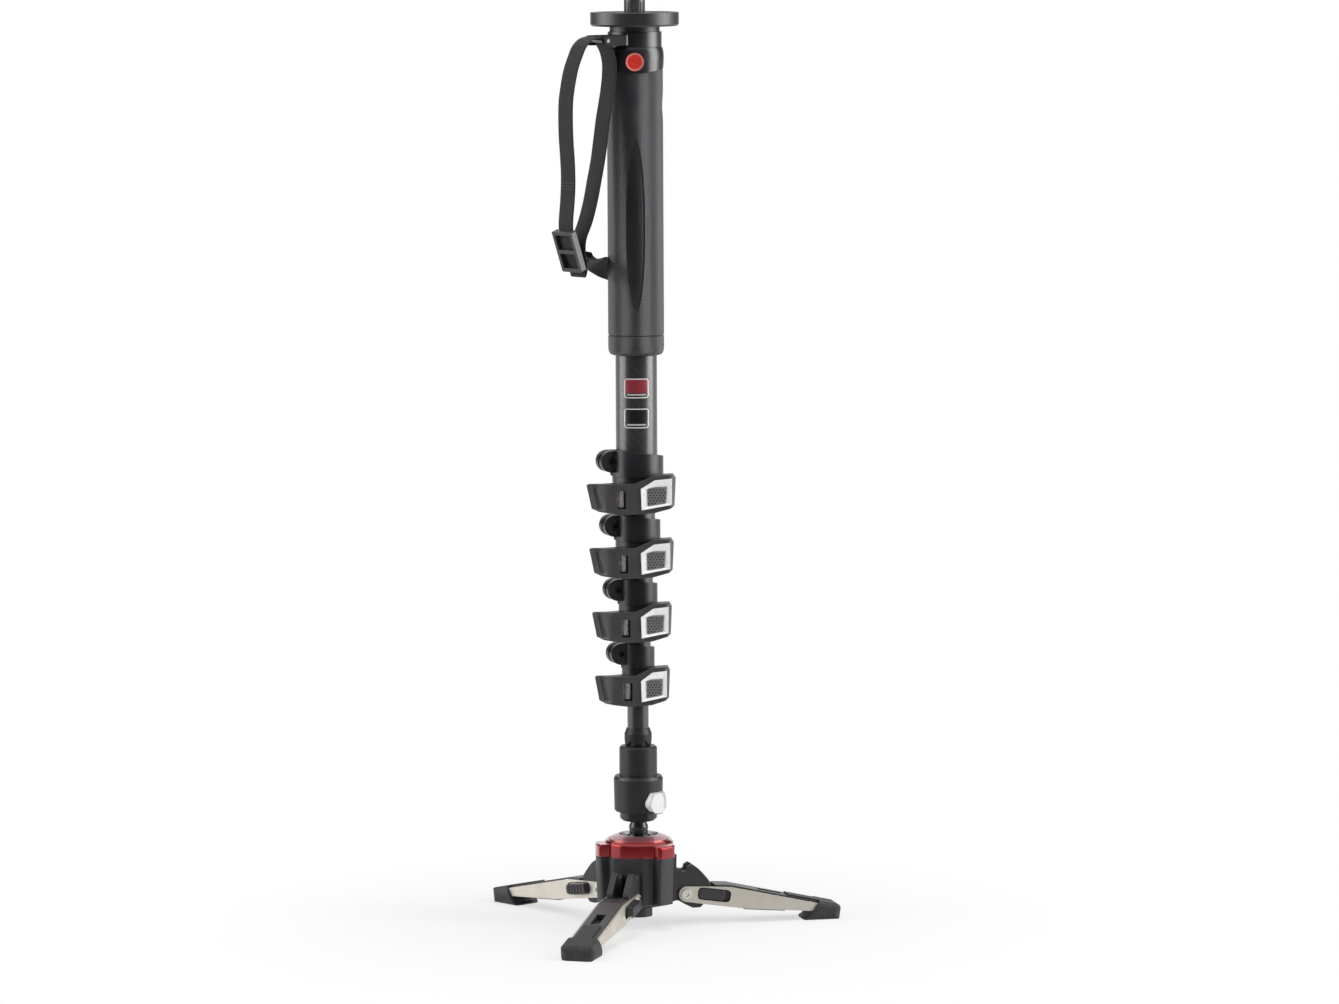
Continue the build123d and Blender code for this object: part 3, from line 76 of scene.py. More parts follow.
camera = add_object("camera", bpy.data.cameras.new("camera"))
camera.data.lens = 162.138
camera.data.sensor_width = 36
camera.matrix_world = (Matrix.Translation(camera_place)
                       @ Matrix((right, top, -sight)).transposed().to_4x4())
scene.camera = camera
scene.view_settings.view_transform = "Standard"
print("lens in mm:", camera.data.lens)

# %% [markdown]
# ## Wires
# A material is a little program drawn as boxes and wires. Written as Python it stays
# readable: a `Wire` stands for one output of a box, and maths on wires adds Math boxes,
# so `1 - mask * 2` means the same here as on paper. `Nodes.add` makes any other box
# from its type, its settings and what goes into its sockets.

# %% Wires and nodes
def overload(operation):
    """A method that adds a Math node and goes on from its output."""
    return lambda wire, *others: wire.maths(operation, *others)


def reflected(operation):
    """The same with the other value first, so that 1 - mask works."""
    return lambda wire, other: wire.nodes.maths(operation, other, wire)


class Wire:
    """One value on its way through a node tree."""

    def __init__(self, nodes, socket):
        self.nodes, self.socket = nodes, socket

    def maths(self, operation, *others):
        return self.nodes.maths(operation, self, *others)

    def clamped(self):
        return self.maths("MAXIMUM", 0.0).maths("MINIMUM", 1.0)

    __add__ = __radd__ = overload("ADD")
    __mul__ = __rmul__ = overload("MULTIPLY")
    __sub__, __rsub__ = overload("SUBTRACT"), reflected("SUBTRACT")
    __truediv__, __rtruediv__ = overload("DIVIDE"), reflected("DIVIDE")
    __pow__, __mod__ = overload("POWER"), overload("FLOORED_MODULO")
    __gt__, __lt__ = overload("GREATER_THAN"), overload("LESS_THAN")
    __abs__ = overload("ABSOLUTE")


class Nodes:
    """Adds nodes to one tree and hands back their outputs as wires."""

    def __init__(self, tree):
        self.tree = tree
        tree.nodes.clear()

    def add(self, kind, settings=None, sockets=None, output=0):
        node = self.tree.nodes.new(kind)
        for name, value in (settings or {}).items():
            setattr(node, name, value)
        for name, value in (sockets or {}).items():
            if isinstance(value, Wire):
                self.tree.links.new(value.socket, node.inputs[name])
            else:
                node.inputs[name].default_value = value
        return Wire(self, node.outputs[output]) if node.outputs else node

    def maths(self, operation, *terms):
        return self.add("ShaderNodeMath", {"operation": operation}, dict(enumerate(terms)))


print("methods of a wire:", sum(callable(item) for item in vars(Wire).values()))

# %% [markdown]
# ## The studio
# The world is pure white for the camera and for mirror and glass rays, and at a plain
# level for soft light, so that the background doesn't flood the object.

# %% White world
soft_light_level = 0.36
world = bpy.data.worlds.new("studio")
scene.world = world
world.use_nodes = True
studio = Nodes(world.node_tree)


def seen(nodes):
    """1 for camera, mirror and glass rays, and 0 for soft light and shadow rays."""
    camera_ray = nodes.add("ShaderNodeLightPath", output="Is Camera Ray")
    path = camera_ray.socket.node
    glossy, glass = (Wire(nodes, path.outputs[name])
                     for name in ("Is Glossy Ray", "Is Transmission Ray"))
    return camera_ray.maths("MAXIMUM", glossy).maths("MAXIMUM", glass)


white = (1.0, 1.0, 1.0, 1.0)
sky = studio.add("ShaderNodeBackground", None, {
    "Color": white, "Strength": seen(studio) * (1 - soft_light_level) + soft_light_level})
studio.add("ShaderNodeOutputWorld", None, {"Surface": sky})
print("share of the white that soft light gets:", soft_light_level)

# %% [markdown]
# The floor is pale too, and a share of white glow keeps the shadow under the legs soft.
# With distance the floor fades to the white of the background, so that no horizon
# shows.

# %% Floor
floor_radius, fade_start, fade_end = 3.0, 0.10, 0.38
floor_glow, floor_tone = 0.6, (0.86, 0.855, 0.85, 1.0)
floor_mesh = bpy.data.meshes.new("floor")
disc = bmesh.new()
bmesh.ops.create_circle(disc, cap_ends=True, segments=96, radius=floor_radius)
disc.to_mesh(floor_mesh)
disc.free()
floor = add_object("floor", floor_mesh)

floor_paint = bpy.data.materials.new("studio_floor")
floor_paint.use_nodes = True
ground = Nodes(floor_paint.node_tree)
from_middle = ground.add("ShaderNodeVectorMath", {"operation": "LENGTH"}, {
    0: ground.add("ShaderNodeTexCoord", output="Object")}, "Value")
fade = ground.add("ShaderNodeMapRange", {"interpolation_type": "SMOOTHSTEP"}, {
    "Value": from_middle, "From Min": fade_start, "From Max": fade_end})
paint_side = ground.add("ShaderNodeBsdfDiffuse", None, {"Color": floor_tone})
glow_side = ground.add("ShaderNodeEmission", None, {"Color": white, "Strength": 1.0})
floor_mix = ground.add("ShaderNodeMixShader", None, {
    0: (fade * (1 - floor_glow) + floor_glow) * seen(ground), 1: paint_side, 2: glow_side})
ground.add("ShaderNodeOutputMaterial", None, {"Surface": floor_mix})
floor_mesh.materials.append(floor_paint)
print("the floor is plain white from", fade_end, "m outwards")

# %% [markdown]
# Two tall soft boxes stand to the left and right of the column, and a wide one hangs
# above it. They light the surfaces softly but are hidden from reflections.

# %% Lamps
def soft_box(name, place, aim, size, watts):
    """A rectangular lamp that looks at a point."""
    lamp = bpy.data.lights.new(name, "AREA")
    lamp.shape, lamp.size, lamp.size_y, lamp.energy = "RECTANGLE", size[0], size[1], watts
    box = add_object(name, lamp)
    box.location = place
    box.rotation_euler = (Vector(aim) - Vector(place)).to_track_quat("-Z", "Y").to_euler()
    box.visible_glossy = False


soft_box("right_soft_box", (1.5, -0.55, 0.70), (0, 0, 0.38), (0.5, 1.7), 20)
soft_box("left_soft_box", (-1.5, -0.45, 0.70), (0, 0, 0.38), (0.4, 1.7), 12)
soft_box("top_soft_box", (0.1, -0.35, 2.1), (0, 0, 0.2), (1.4, 1.0), 17)

# %% [markdown]
# Black things are seen by what they mirror. Bent cards stand round the column and only
# reflections see them: a bright one on each side draws the two long lines down every
# tube, the right one stronger. A dark one in front, which also covers the floor there,
# keeps the middle of each tube black, and dark flags behind the bright cards give the
# outlines their dark rim. Angles count from the camera round to the right. Each card is
# a mesh built from points and faces, as the strap and the labels will be.

# %% Reflection cards
def add_mesh(name, points, faces, smooth=True):
    """An object made of points and faces, with every face turned outwards."""
    mesh = bpy.data.meshes.new(name)
    mesh.from_pydata(points, [], faces)
    shaper = bmesh.new()
    shaper.from_mesh(mesh)
    bmesh.ops.recalc_face_normals(shaper, faces=shaper.faces)
    shaper.to_mesh(mesh)
    shaper.free()
    if smooth:
        mesh.shade_smooth()
    return add_object(name, mesh)


def bent_card(name, angles, strength, rings):
    """Part of a cylinder round the column. rings gives its reach at each height."""
    steps = 24
    row = steps + 1
    corners = []
    for reach, height in rings:
        for step in range(row):
            angle = math.radians(angles[0] + (angles[1] - angles[0]) * step / steps)
            corners.append((reach * math.sin(angle), -reach * math.cos(angle), height))
    faces = [(i + row * k, i + 1 + row * k, i + 1 + row * (k + 1), i + row * (k + 1))
             for k in range(len(rings) - 1) for i in range(steps)]
    card = add_mesh(name, corners, faces, smooth=False)
    card.visible_camera = card.visible_diffuse = card.visible_shadow = False
    paper = bpy.data.materials.new(name)
    paper.use_nodes = True
    glow = Nodes(paper.node_tree)
    glow.add("ShaderNodeOutputMaterial", None, {"Surface": glow.add(
        "ShaderNodeEmission", None, {"Color": white, "Strength": strength})})
    card.data.materials.append(paper)
    print(name, "from", angles[0], "to", angles[1], "degrees")


# each pair is a reach from the column and a height, in metres
apron = (0.34, 0.004)
dark_wall = [(5.6, 0.004), (5.6, 4.2)]
bright_wall = [(2.2, 0.16), (2.2, 2.3)]
bent_card("dark_front", (-62, 60), 0.02, [apron] + dark_wall)
bent_card("bright_right", (64, 102), 9.0, bright_wall)
bent_card("bright_left", (-104, -64), 6.0, bright_wall)
bent_card("dark_right_flag", (102, 152), 0.03, dark_wall)
bent_card("dark_left_flag", (-152, -106), 0.03, dark_wall)

# %% [markdown]
# ## One pattern for all finishes
# Every finish is a `Finish`: it knows where it is on the part, offers the few
# patterns that made things have (grain, brushing, turning marks, worn edges) and ends
# in one Principled shader. A Bevel node rounds the sharp CAD edges for the light by a
# fraction of a millimetre, which is what makes an edge catch a highlight.

# %% The finish class
def tone(red, green, blue):
    """A colour as a screen shows it, 0 to 255, turned into what a shader takes."""
    shares = [value / 255 for value in (red, green, blue)]
    linear = [s / 12.92 if s <= 0.04045 else ((s + 0.055) / 1.055) ** 2.4 for s in shares]
    return (*linear, 1.0)


class Finish(Nodes):
    """A material for pieces that lie in the part's own frame."""

    def __init__(self, name, edge):
        self.material = bpy.data.materials.new(name)
        self.material.use_nodes = True
        super().__init__(self.material.node_tree)
        self.place = self.add("ShaderNodeTexCoord", output="Object")
        parted = self.add("ShaderNodeSeparateXYZ", None, {0: self.place}).socket.node
        self.x, self.y, self.z = (Wire(self, parted.outputs[i]) for i in range(3))
        self.rounded = self.add("ShaderNodeBevel", {"samples": 4}, {"Radius": edge})

    def grain(self, size, stretch=(1, 1, 1), detail=2.0, along=None):
        """Noise from 0 to 1 whose spots are about size across, longer along an axis."""
        scale = tuple(1 / (size * share) for share in stretch)
        spots = self.add("ShaderNodeVectorMath", {"operation": "MULTIPLY"},
                         {0: along or self.place, 1: scale})
        return self.add("ShaderNodeTexNoise", None,
                        {"Vector": spots, "Scale": 1.0, "Detail": detail})

    def step(self, value, low, high):
        """0 below low, 1 above high, smooth between."""
        return self.add("ShaderNodeMapRange", {"interpolation_type": "SMOOTHSTEP"},
                        {"Value": value, "From Min": low, "From Max": high})

    def mix(self, share, first, second):
        return self.add("ShaderNodeMix", {"data_type": "RGBA"},
                        {0: share, 6: first, 7: second}, 2)

    def shade(self, colour, amount):
        """A colour made darker or lighter by a wire."""
        return self.add("ShaderNodeVectorMath", {"operation": "SCALE"},
                        {0: colour if isinstance(colour, Wire) else colour[:3], "Scale": amount})

    def turned(self):
        """The angle round the column's axis."""
        return self.y.maths("ARCTAN2", self.x)

    def from_axis(self):
        return (self.x * self.x + self.y * self.y) ** 0.5

    def facing(self, axis):
        """How far the surface looks along x, y or z: 1 is straight along it."""
        normal = self.add("ShaderNodeNewGeometry", output="True Normal")
        parted = self.add("ShaderNodeSeparateXYZ", None, {0: normal}).socket.node
        return Wire(self, parted.outputs["XYZ".index(axis)])

    def worn(self, reach=2.0):
        """1 on sharp edges, where handling rubs the finish, and 0 on flat stretches."""
        flat = self.add("ShaderNodeNewGeometry", output="Normal")
        agree = self.add("ShaderNodeVectorMath", {"operation": "DOT_PRODUCT"},
                         {0: self.rounded, 1: flat}, "Value")
        return ((1 - agree) * reach).clamped()

    def done(self, base, roughness, relief, depth, **fixed):
        """Joins colour, roughness and relief in the shader, and returns the material."""
        normal = self.add("ShaderNodeBump", None, {
            "Height": relief, "Distance": depth, "Normal": self.rounded})
        sockets = {"Base Color": base, "Roughness": roughness, "Normal": normal}
        sockets.update({name.replace("_", " "): value for name, value in fixed.items()})
        shader = self.add("ShaderNodeBsdfPrincipled", None, sockets)
        self.add("ShaderNodeOutputMaterial", None, {"Surface": shader})
        return self.material


print("a middle grey is", round(tone(128, 128, 128)[0], 3), "for a shader")

# %% [markdown]
# A CAD piece arrives with material slots, and a finish goes on by filling them, so the
# piece itself is never touched. The list of painted names shows at the end whether a
# piece was forgotten.

# %% Painting a piece
painted = []


def paint(material, *names):
    """Gives CAD nodes their finish."""
    for name in names:
        for slot in parts[name].material_slots:
            slot.material = material
        painted.append(name)
    print(material.name, "on", *names)


print("pieces to paint:", len(parts))

# %% [markdown]
# ## Black anodised aluminium
# The disc, the collar under it, the stem and the foot of the column are turned from
# aluminium and anodised black. The real surface is satin: a very fine blasted grain,
# slightly uneven in tone, with tool marks round the axis and edges rubbed a little
# lighter. One function makes them from a tone, a roughness and a share of tool marks.
# The collar has a finish of its own, because its lug for the strap isn't turned.

# %% Anodised black
def anodised(name, colour, roughness, tool_marks, edge=0.35 * mm, **fixed):
    finish = Finish(name, edge)
    pits = finish.grain(0.35 * mm)
    marks = finish.grain(0.5 * mm, stretch=(30, 30, 1), detail=1.0)
    clouds = finish.grain(14 * mm, detail=3.0)
    body = finish.shade(colour, clouds * 0.5 + pits * 0.25 + 0.62)
    edges = finish.worn() * (clouds * 0.8 + 0.2)
    base = finish.mix(edges * 0.55, body, tone(112, 112, 114))
    gloss = clouds * 0.12 + pits * 0.1 + (roughness - 0.11) - edges * 0.1
    relief = pits * (1 - tool_marks) + marks * tool_marks
    return finish.done(base, gloss, relief, 0.03 * mm, **fixed)


def collar_finish():
    """The turned ring has a satin coat, and the cast lug for the strap is bare and matt."""
    finish = Finish("anodised_collar", 0.6 * mm)
    ring_end, lug_start = 22.3 * mm, 22.9 * mm
    lug = finish.step(finish.from_axis(), ring_end, lug_start)
    pits = finish.grain(0.35 * mm)
    clouds = finish.grain(14 * mm, detail=3.0)
    body = finish.mix(lug, tone(34, 34, 36), tone(28, 28, 30))
    base = finish.shade(body, clouds * 0.5 + pits * 0.25 + 0.62)
    return finish.done(base, clouds * 0.1 + 0.5, pits, 0.02 * mm, Specular_IOR_Level=0.1,
                       Coat_Weight=1 - lug, Coat_Roughness=0.32)


paint(collar_finish(), "strap_collar")
paint(anodised("anodised_stem", tone(34, 34, 36), 0.26, 0.5), "stem")
paint(anodised("anodised_foot", tone(30, 29, 32), 0.5, 0.12, Specular_IOR_Level=0.3),
      "column_foot")
paint(anodised("anodised_housing", tone(38, 36, 37), 0.42, 0.1, Specular_IOR_Level=0.35),
      "release_housing")

# %% [markdown]
# The top disc carries a head, so its upper face has a ring of fine grooves that grips
# it. The grooves come from the distance to the axis and show only where the surface
# looks up. The side keeps the marks of the lathe.

# %% Top disc and stud
def disc_finish():
    finish = Finish("top_disc", 0.5 * mm)
    groove_pitch, ring_low, ring_high = 1.6 * mm, 13 * mm, 31 * mm
    radius = finish.from_axis()
    waves = abs((radius / groove_pitch) % 1.0 - 0.5) * 2
    ring = finish.step(radius, ring_low, ring_low + 0.4 * mm)
    ring = ring * (1 - finish.step(radius, ring_high, ring_high + 0.4 * mm))
    ring = ring * finish.step(finish.facing("Z"), 0.6, 0.9)
    pits = finish.grain(0.35 * mm)
    marks = finish.grain(0.45 * mm, stretch=(40, 40, 1), detail=1.0)
    clouds = finish.grain(20 * mm, detail=3.0)
    base = finish.shade(tone(42, 41, 43), clouds * 0.4 + pits * 0.25 + 0.68)
    edges = finish.worn()
    base = finish.mix(edges * 0.4, finish.mix(ring * 0.7, base, tone(30, 30, 31)),
                      tone(120, 120, 122))
    gloss = clouds * 0.1 + ring * 0.2 + 0.36
    relief = pits * 0.1 + marks * 0.12 + ring * waves
    return finish.done(base, gloss, relief, 0.18 * mm)


def cap_finish():
    finish = Finish("stud_cap", 0.3 * mm)
    pits = finish.grain(0.3 * mm)
    dust = finish.grain(3 * mm, detail=4.0)
    base = finish.mix(finish.worn() * 0.5, finish.shade(tone(58, 55, 55), dust * 0.6 + 0.7),
                      tone(140, 136, 134))
    return finish.done(base, dust * 0.2 + 0.28, pits, 0.03 * mm)


def steel_finish():
    finish = Finish("stud_steel", 0.2 * mm)
    streaks = finish.grain(0.5 * mm, stretch=(1, 6, 1), detail=3.0)
    stains = finish.grain(2.2 * mm, detail=4.0)
    base = finish.shade(tone(176, 174, 170), stains * 0.5 + 0.7)
    return finish.done(base, streaks * 0.25 + 0.24, streaks, 0.02 * mm, Metallic=1.0)


paint(disc_finish(), "top_disc")
paint(cap_finish(), "stud_cap")
paint(steel_finish(), "camera_stud")

# %% [markdown]
# ## Carbon tubes
# The tubes are wound carbon fibre under a clear satin coat. Seen close, a twill of
# narrow tows steps round the tube, and seen from afar it is a warm dark grey with long
# highlights. The twill is a counting pattern: a tow lies over or under by whether the
# sum of its column and row is in the first or second half of four. The number of tows
# round the tube is a multiple of four, so the pattern closes on itself.

# %% Carbon twill
def carbon(name, radius):
    finish = Finish(name, 0.3 * mm)
    tows_round = 4 * round(0.8 * radius / mm)
    tow = 2 * math.pi * radius / tows_round
    column = finish.turned() * (tows_round / (2 * math.pi))
    row = finish.z / tow
    over = ((column.maths("FLOOR") + row.maths("FLOOR")) % 4.0) < 2.0
    across_column = abs(column % 1.0 - 0.5) * 2
    across_row = abs(row % 1.0 - 0.5) * 2
    crown = 1 - over * across_column - (1 - over) * across_row
    clouds = finish.grain(25 * mm, stretch=(1, 1, 3), detail=3.0)
    body = finish.mix(over, tone(46, 44, 44), tone(40, 39, 39))
    base = finish.shade(body, clouds * 0.5 + 0.75)
    gloss = over * 0.04 + clouds * 0.1 + 0.34
    relief = crown * 0.5 + finish.grain(0.4 * mm) * 0.3
    return finish.done(base, gloss, relief, 0.006 * mm, Coat_Weight=0.6, Coat_Roughness=0.2)


tube_radii = [(16.5 - 2 * n) * mm for n in range(5)]
for n, radius in enumerate(tube_radii):
    paint(carbon(f"carbon_tube_{n + 1}", radius), f"tube_{n + 1}")
print("tubes in mm across:", [round(2 * radius / mm) for radius in tube_radii])

# %% [markdown]
# ## Foam grip
# The grip sleeve is firm foam with a fine diamond knurl pressed into it. In a long oval
# on the front the knurl is a little flatter. Two families of slanting lines cross at a
# whole number of turns, so the pattern closes on itself behind, and the lower of the
# two gives the small pyramids.

# %% Knurled foam
def knurled_foam():
    finish = Finish("knurled_foam", 0.4 * mm)
    lines_round, sleeve_radius = 62, 22.2 * mm
    panel_middle, panel_half_height, panel_half_width = 562 * mm, 68 * mm, 7.5 * mm
    flattened = 0.3
    per_turn = finish.turned() * (lines_round / (2 * math.pi))
    per_rise = finish.z * (lines_round / (2 * math.pi * sleeve_radius))
    slants = [abs(slant % 1.0 - 0.5) * 2 for slant in (per_turn + per_rise, per_turn - per_rise)]
    pyramids = slants[0].maths("MINIMUM", slants[1])
    x_share, z_share = finish.x / panel_half_width, (finish.z - panel_middle) / panel_half_height
    oval = x_share * x_share + z_share * z_share
    plain = (1 - finish.step(oval, 0.4, 1.2)) * (finish.y < 0.0) * flattened
    knurl = pyramids * (1 - plain)
    clouds = finish.grain(16 * mm, detail=4.0)
    skin = finish.grain(0.5 * mm, detail=3.0)
    # Painted shade: the knurl's valleys are near black and its tops lighter, as light and shade on
    # the pyramids.
    body = finish.mix(finish.step(knurl, 0.2, 0.8), tone(6, 6, 8), tone(80, 79, 86))
    body = finish.mix(plain, body, tone(40, 40, 45))
    base = finish.shade(body, clouds * 0.45 + skin * 0.2 + 0.68)
    gloss = clouds * 0.1 + 0.26
    return finish.done(base, gloss, knurl + skin * 0.12, 0.4 * mm, Specular_IOR_Level=0.6)


paint(knurled_foam(), "grip_sleeve")

# %% [markdown]
# ## Moulded plastic
# The crown of the grip, the leg covers, the latches and the liners inside are moulded.
# Fine spark-eroded texture from the mould covers them, and rubbed edges turn shinier
# and a little paler. The three legs are built alike and point in three directions,
# given in degrees round the column.

# %% Moulded plastic
leg_directions = {"front": -107.4, "right": 12.6, "left": 132.6}


def legs(piece):
    """The CAD nodes of one piece in all three legs."""
    return [f"{side}_leg_{piece}" for side in leg_directions]


def moulded(name, colour, roughness, texture=0.45 * mm, depth=0.05 * mm):
    finish = Finish(name, 0.4 * mm)
    pits = finish.grain(texture, detail=1.5)
    clouds = finish.grain(11 * mm, detail=3.0)
    rubbed = finish.worn()
    base = finish.shade(colour, clouds * 0.35 + pits * 0.15 + 0.75)
    base = finish.mix(rubbed * 0.35, base, tone(126, 124, 124))
    gloss = clouds * 0.14 + (roughness - 0.07) - rubbed * 0.12
    return finish.done(base, gloss, pits, depth)


paint(moulded("crown_plastic", tone(38, 38, 42), 0.3, 0.4 * mm, 0.015 * mm), "grip_crown")
paint(moulded("leg_cover", tone(50, 48, 51), 0.4), *legs("cover"))
paint(moulded("latch_plastic", tone(44, 43, 46), 0.36), *legs("latch"))
paint(moulded("liner_plastic", tone(196, 194, 188), 0.4, 0.6 * mm, 0.01 * mm), "pan_cup",
      "tilt_ring", *[f"shims_{n}" for n in range(2, 6)])

# %% [markdown]
# ## Levers
# The four levers are warm charcoal, the lightest of the dark pieces. Each has a
# finger scoop beside the flat lip of its long end, a wedge that widens downwards. The
# scoop is shallow, so it is made as relief and painted shade: a height that falls off
# behind the lip and climbs back to the face, with painted shade where it is deep, and
# the flat lip beside it is painted lighter as a highlight. Their place follows the reach
# of each lever, which shrinks with the tube. Shares run from 0 at the axis to 1 at the
# lever's end, and from 0 at its lower edge to 1 at the upper.

# %% Levers
lock_pitch, lowest_lock, lever_height = 51.4 * mm, 179.8 * mm, 24 * mm


def lock_base(n):
    """The height of the lower edge of lever n, counted from the top."""
    return lowest_lock + lock_pitch * (3 - n)


def left_reach(n):
    """How far the long end of lever n reaches to the left of the column's axis."""
    return 24 * mm + 0.96375 * tube_radii[n]


def lever_plastic(n):
    finish = Finish(f"lever_plastic_{n + 1}", 0.5 * mm)
    front_depth, scoop_depth = -8 * mm, 0.8 * mm
    lip_middle, lip_slant = 0.82, 0.12
    scoop_width, scoop_narrowing = 0.16, 0.11
    out = finish.x * (-1 / left_reach(n))
    up = (finish.z - lock_base(n)) / lever_height
    lip = (up - 0.5) * lip_slant + lip_middle
    inwards = (lip - out) / (scoop_width - up * scoop_narrowing)
    ends = finish.step(up, 0.12, 0.2) * (1 - finish.step(up, 0.84, 0.9))
    front = finish.y < front_depth
    scoop_and_painted_shade = finish.step(inwards, 0.0, 0.08) * (1 - finish.step(inwards, 0.5, 1.3)) * ends * front
    pits = finish.grain(0.45 * mm, detail=1.5)
    clouds = finish.grain(11 * mm, detail=3.0)
    rubbed = finish.worn()
    lip_painted_highlight = finish.step(out - lip, 0.0, 0.02) * front
    # Painted highlight: the flat lip is painted lighter than the face.
    body = finish.mix(lip_painted_highlight, tone(64, 62, 64), tone(84, 82, 83))
    base = finish.shade(body, clouds * 0.35 + pits * 0.15 + 0.75)
    # Painted shade: the scoop is darkened where it is deep.
    base = finish.mix(scoop_and_painted_shade * 0.85, base, tone(18, 17, 18))
    base = finish.mix(rubbed * 0.35, base, tone(126, 124, 124))
    gloss = clouds * 0.14 + 0.36 - rubbed * 0.1 + scoop_and_painted_shade * 0.2
    return finish.done(base, gloss, pits * 0.04 - scoop_and_painted_shade, scoop_depth, Specular_IOR_Level=0.45)


for n in range(4):
    paint(lever_plastic(n), f"lock{n + 1}_lever")

# %% [markdown]
# ## Lock collars and their screws
# Each lock collar is cast and coated black, with faint tool marks round the ring. In
# each lock the clamp screw in the ears is blackened steel, and the draw bolt with its
# round nut behind the lever's window is bare steel with the grey mottle of zinc. Both
# are one CAD node per lock, so the height within the lock tells them apart.

# %% Lock collars and screws
def locks(piece):
    """The CAD nodes of one piece in all four locks."""
    return [f"lock{n}_{piece}" for n in range(1, 5)]


def screw_finish():
    finish = Finish("lock_screws", 0.2 * mm)
    screw_low = 34 * mm
    black = ((finish.z - lowest_lock) % lock_pitch) > screw_low
    mottle = finish.grain(0.6 * mm, stretch=(1, 1, 1.6), detail=4.0)
    fine = finish.grain(0.3 * mm)
    silver = finish.mix(finish.step(mottle, 0.42, 0.62), tone(176, 171, 167), tone(234, 229, 224))
    base = finish.mix(black, silver, finish.shade(tone(50, 50, 52), fine * 0.5 + 0.75))
    gloss = mottle * 0.35 + 0.2
    return finish.done(base, gloss, mottle * 0.6 + fine * 0.4, 0.06 * mm,
                       Metallic=black * 0.5 + 0.2)


paint(anodised("lock_coating", tone(32, 32, 36), 0.34, 0.25, 0.5 * mm), *locks("collar"))
paint(screw_finish(), *locks("fasteners"))

# %% [markdown]
# ## Bright plating
# The frames on the levers and the release button are plated bright. A plated casting
# is never a perfect mirror: the metal under the plating is a little wavy and finger
# marks dull it in places. In the white studio the frames look almost white, so that
# white is painted into their colour as a painted reflection, with little of the mirror
# in the finish. The button is satin plating painted near white the same way, with
# painted shade on its facets that face right and painted dark lines on its facet edges.

# %% Bright plating
def plating_with_painted_reflection():
    finish = Finish("plated_frame_painted_reflection", 0.3 * mm)
    waves = finish.grain(5 * mm, detail=1.0)
    smears = finish.grain(2.5 * mm, stretch=(1, 1, 2), detail=5.0)
    dull = finish.step(smears, 0.45, 0.75)
    # The near-white colour is a painted reflection of the white studio; the duller smears are
    # finger marks.
    base = finish.mix(dull * 0.5, tone(253, 252, 254), tone(236, 235, 237))
    return finish.done(base, dull * 0.12 + 0.24, waves + smears * 0.04, 0.01 * mm,
                       Metallic=0.12)


def button_finish():
    """Satin plating painted near white as a reflection, with painted shade on the facets that face
    right and painted dark lines on the facet edges.
    """
    finish = Finish("plated_button_painted_light", 0.9 * mm)
    brushed = finish.grain(0.4 * mm, stretch=(1, 1, 8), detail=3.0)
    smears = finish.grain(2.5 * mm, detail=4.0)
    edges = finish.worn(9.0)
    # Painted shade on the facets that face right, and painted dark lines on the facet edges.
    painted_shade_facets = finish.step(finish.facing("X"), 0.75, 0.95)
    body = finish.mix(painted_shade_facets * 0.6, tone(226, 226, 229), tone(160, 160, 164))
    base = finish.mix(edges, finish.shade(body, smears * 0.25 + 0.85), tone(72, 72, 76))
    return finish.done(base, brushed * 0.2 + 0.3, brushed, 0.006 * mm, Specular_IOR_Level=0.3)


paint(plating_with_painted_reflection(), *locks("bezel"))
paint(button_finish(), "release_button")

# %% [markdown]
# ## Rubber
# The thumb pads and the three boots are rubber. It is matt, dusty in patches and paler
# where it has been rubbed. The boots are scuffed more towards the floor.

# %% Rubber
def rubber(name, colour, dust_colour, dusty, floor_scuff=0.0):
    finish = Finish(name, 0.5 * mm)
    pores = finish.grain(0.5 * mm, detail=3.0)
    dust = finish.step(finish.grain(4 * mm, detail=5.0), 0.4, 0.8)
    near_floor = 1 - finish.step(finish.z, 0.5 * mm, 6 * mm)
    share = (dust * dusty + near_floor * dust * floor_scuff + finish.worn() * 0.25).clamped()
    base = finish.mix(share, finish.shade(colour, pores * 0.4 + 0.8), dust_colour)
    return finish.done(base, pores * 0.15 + 0.5, pores, 0.06 * mm, Specular_IOR_Level=0.4)


paint(rubber("pad_rubber", tone(108, 107, 109), tone(128, 126, 126), 0.4), *locks("pad"))
paint(rubber("boot_rubber", tone(40, 38, 40), tone(74, 71, 71), 0.3, 0.3), *legs("foot"))

# %% [markdown]
# ## Red ring and badge
# The ring on the hub is the largest coloured piece: aluminium anodised deep red and
# left bright, so it mirrors the bright cards in pink. Its cone is blasted and rougher,
# and its colour is painted a paler grey-pink as a painted sheen of the light on its top.
# The cone carries the plain short marks of a turning scale, and the land round its mouth
# is bare metal. The round badge on the grip's crown is red enamel with a paler rim.

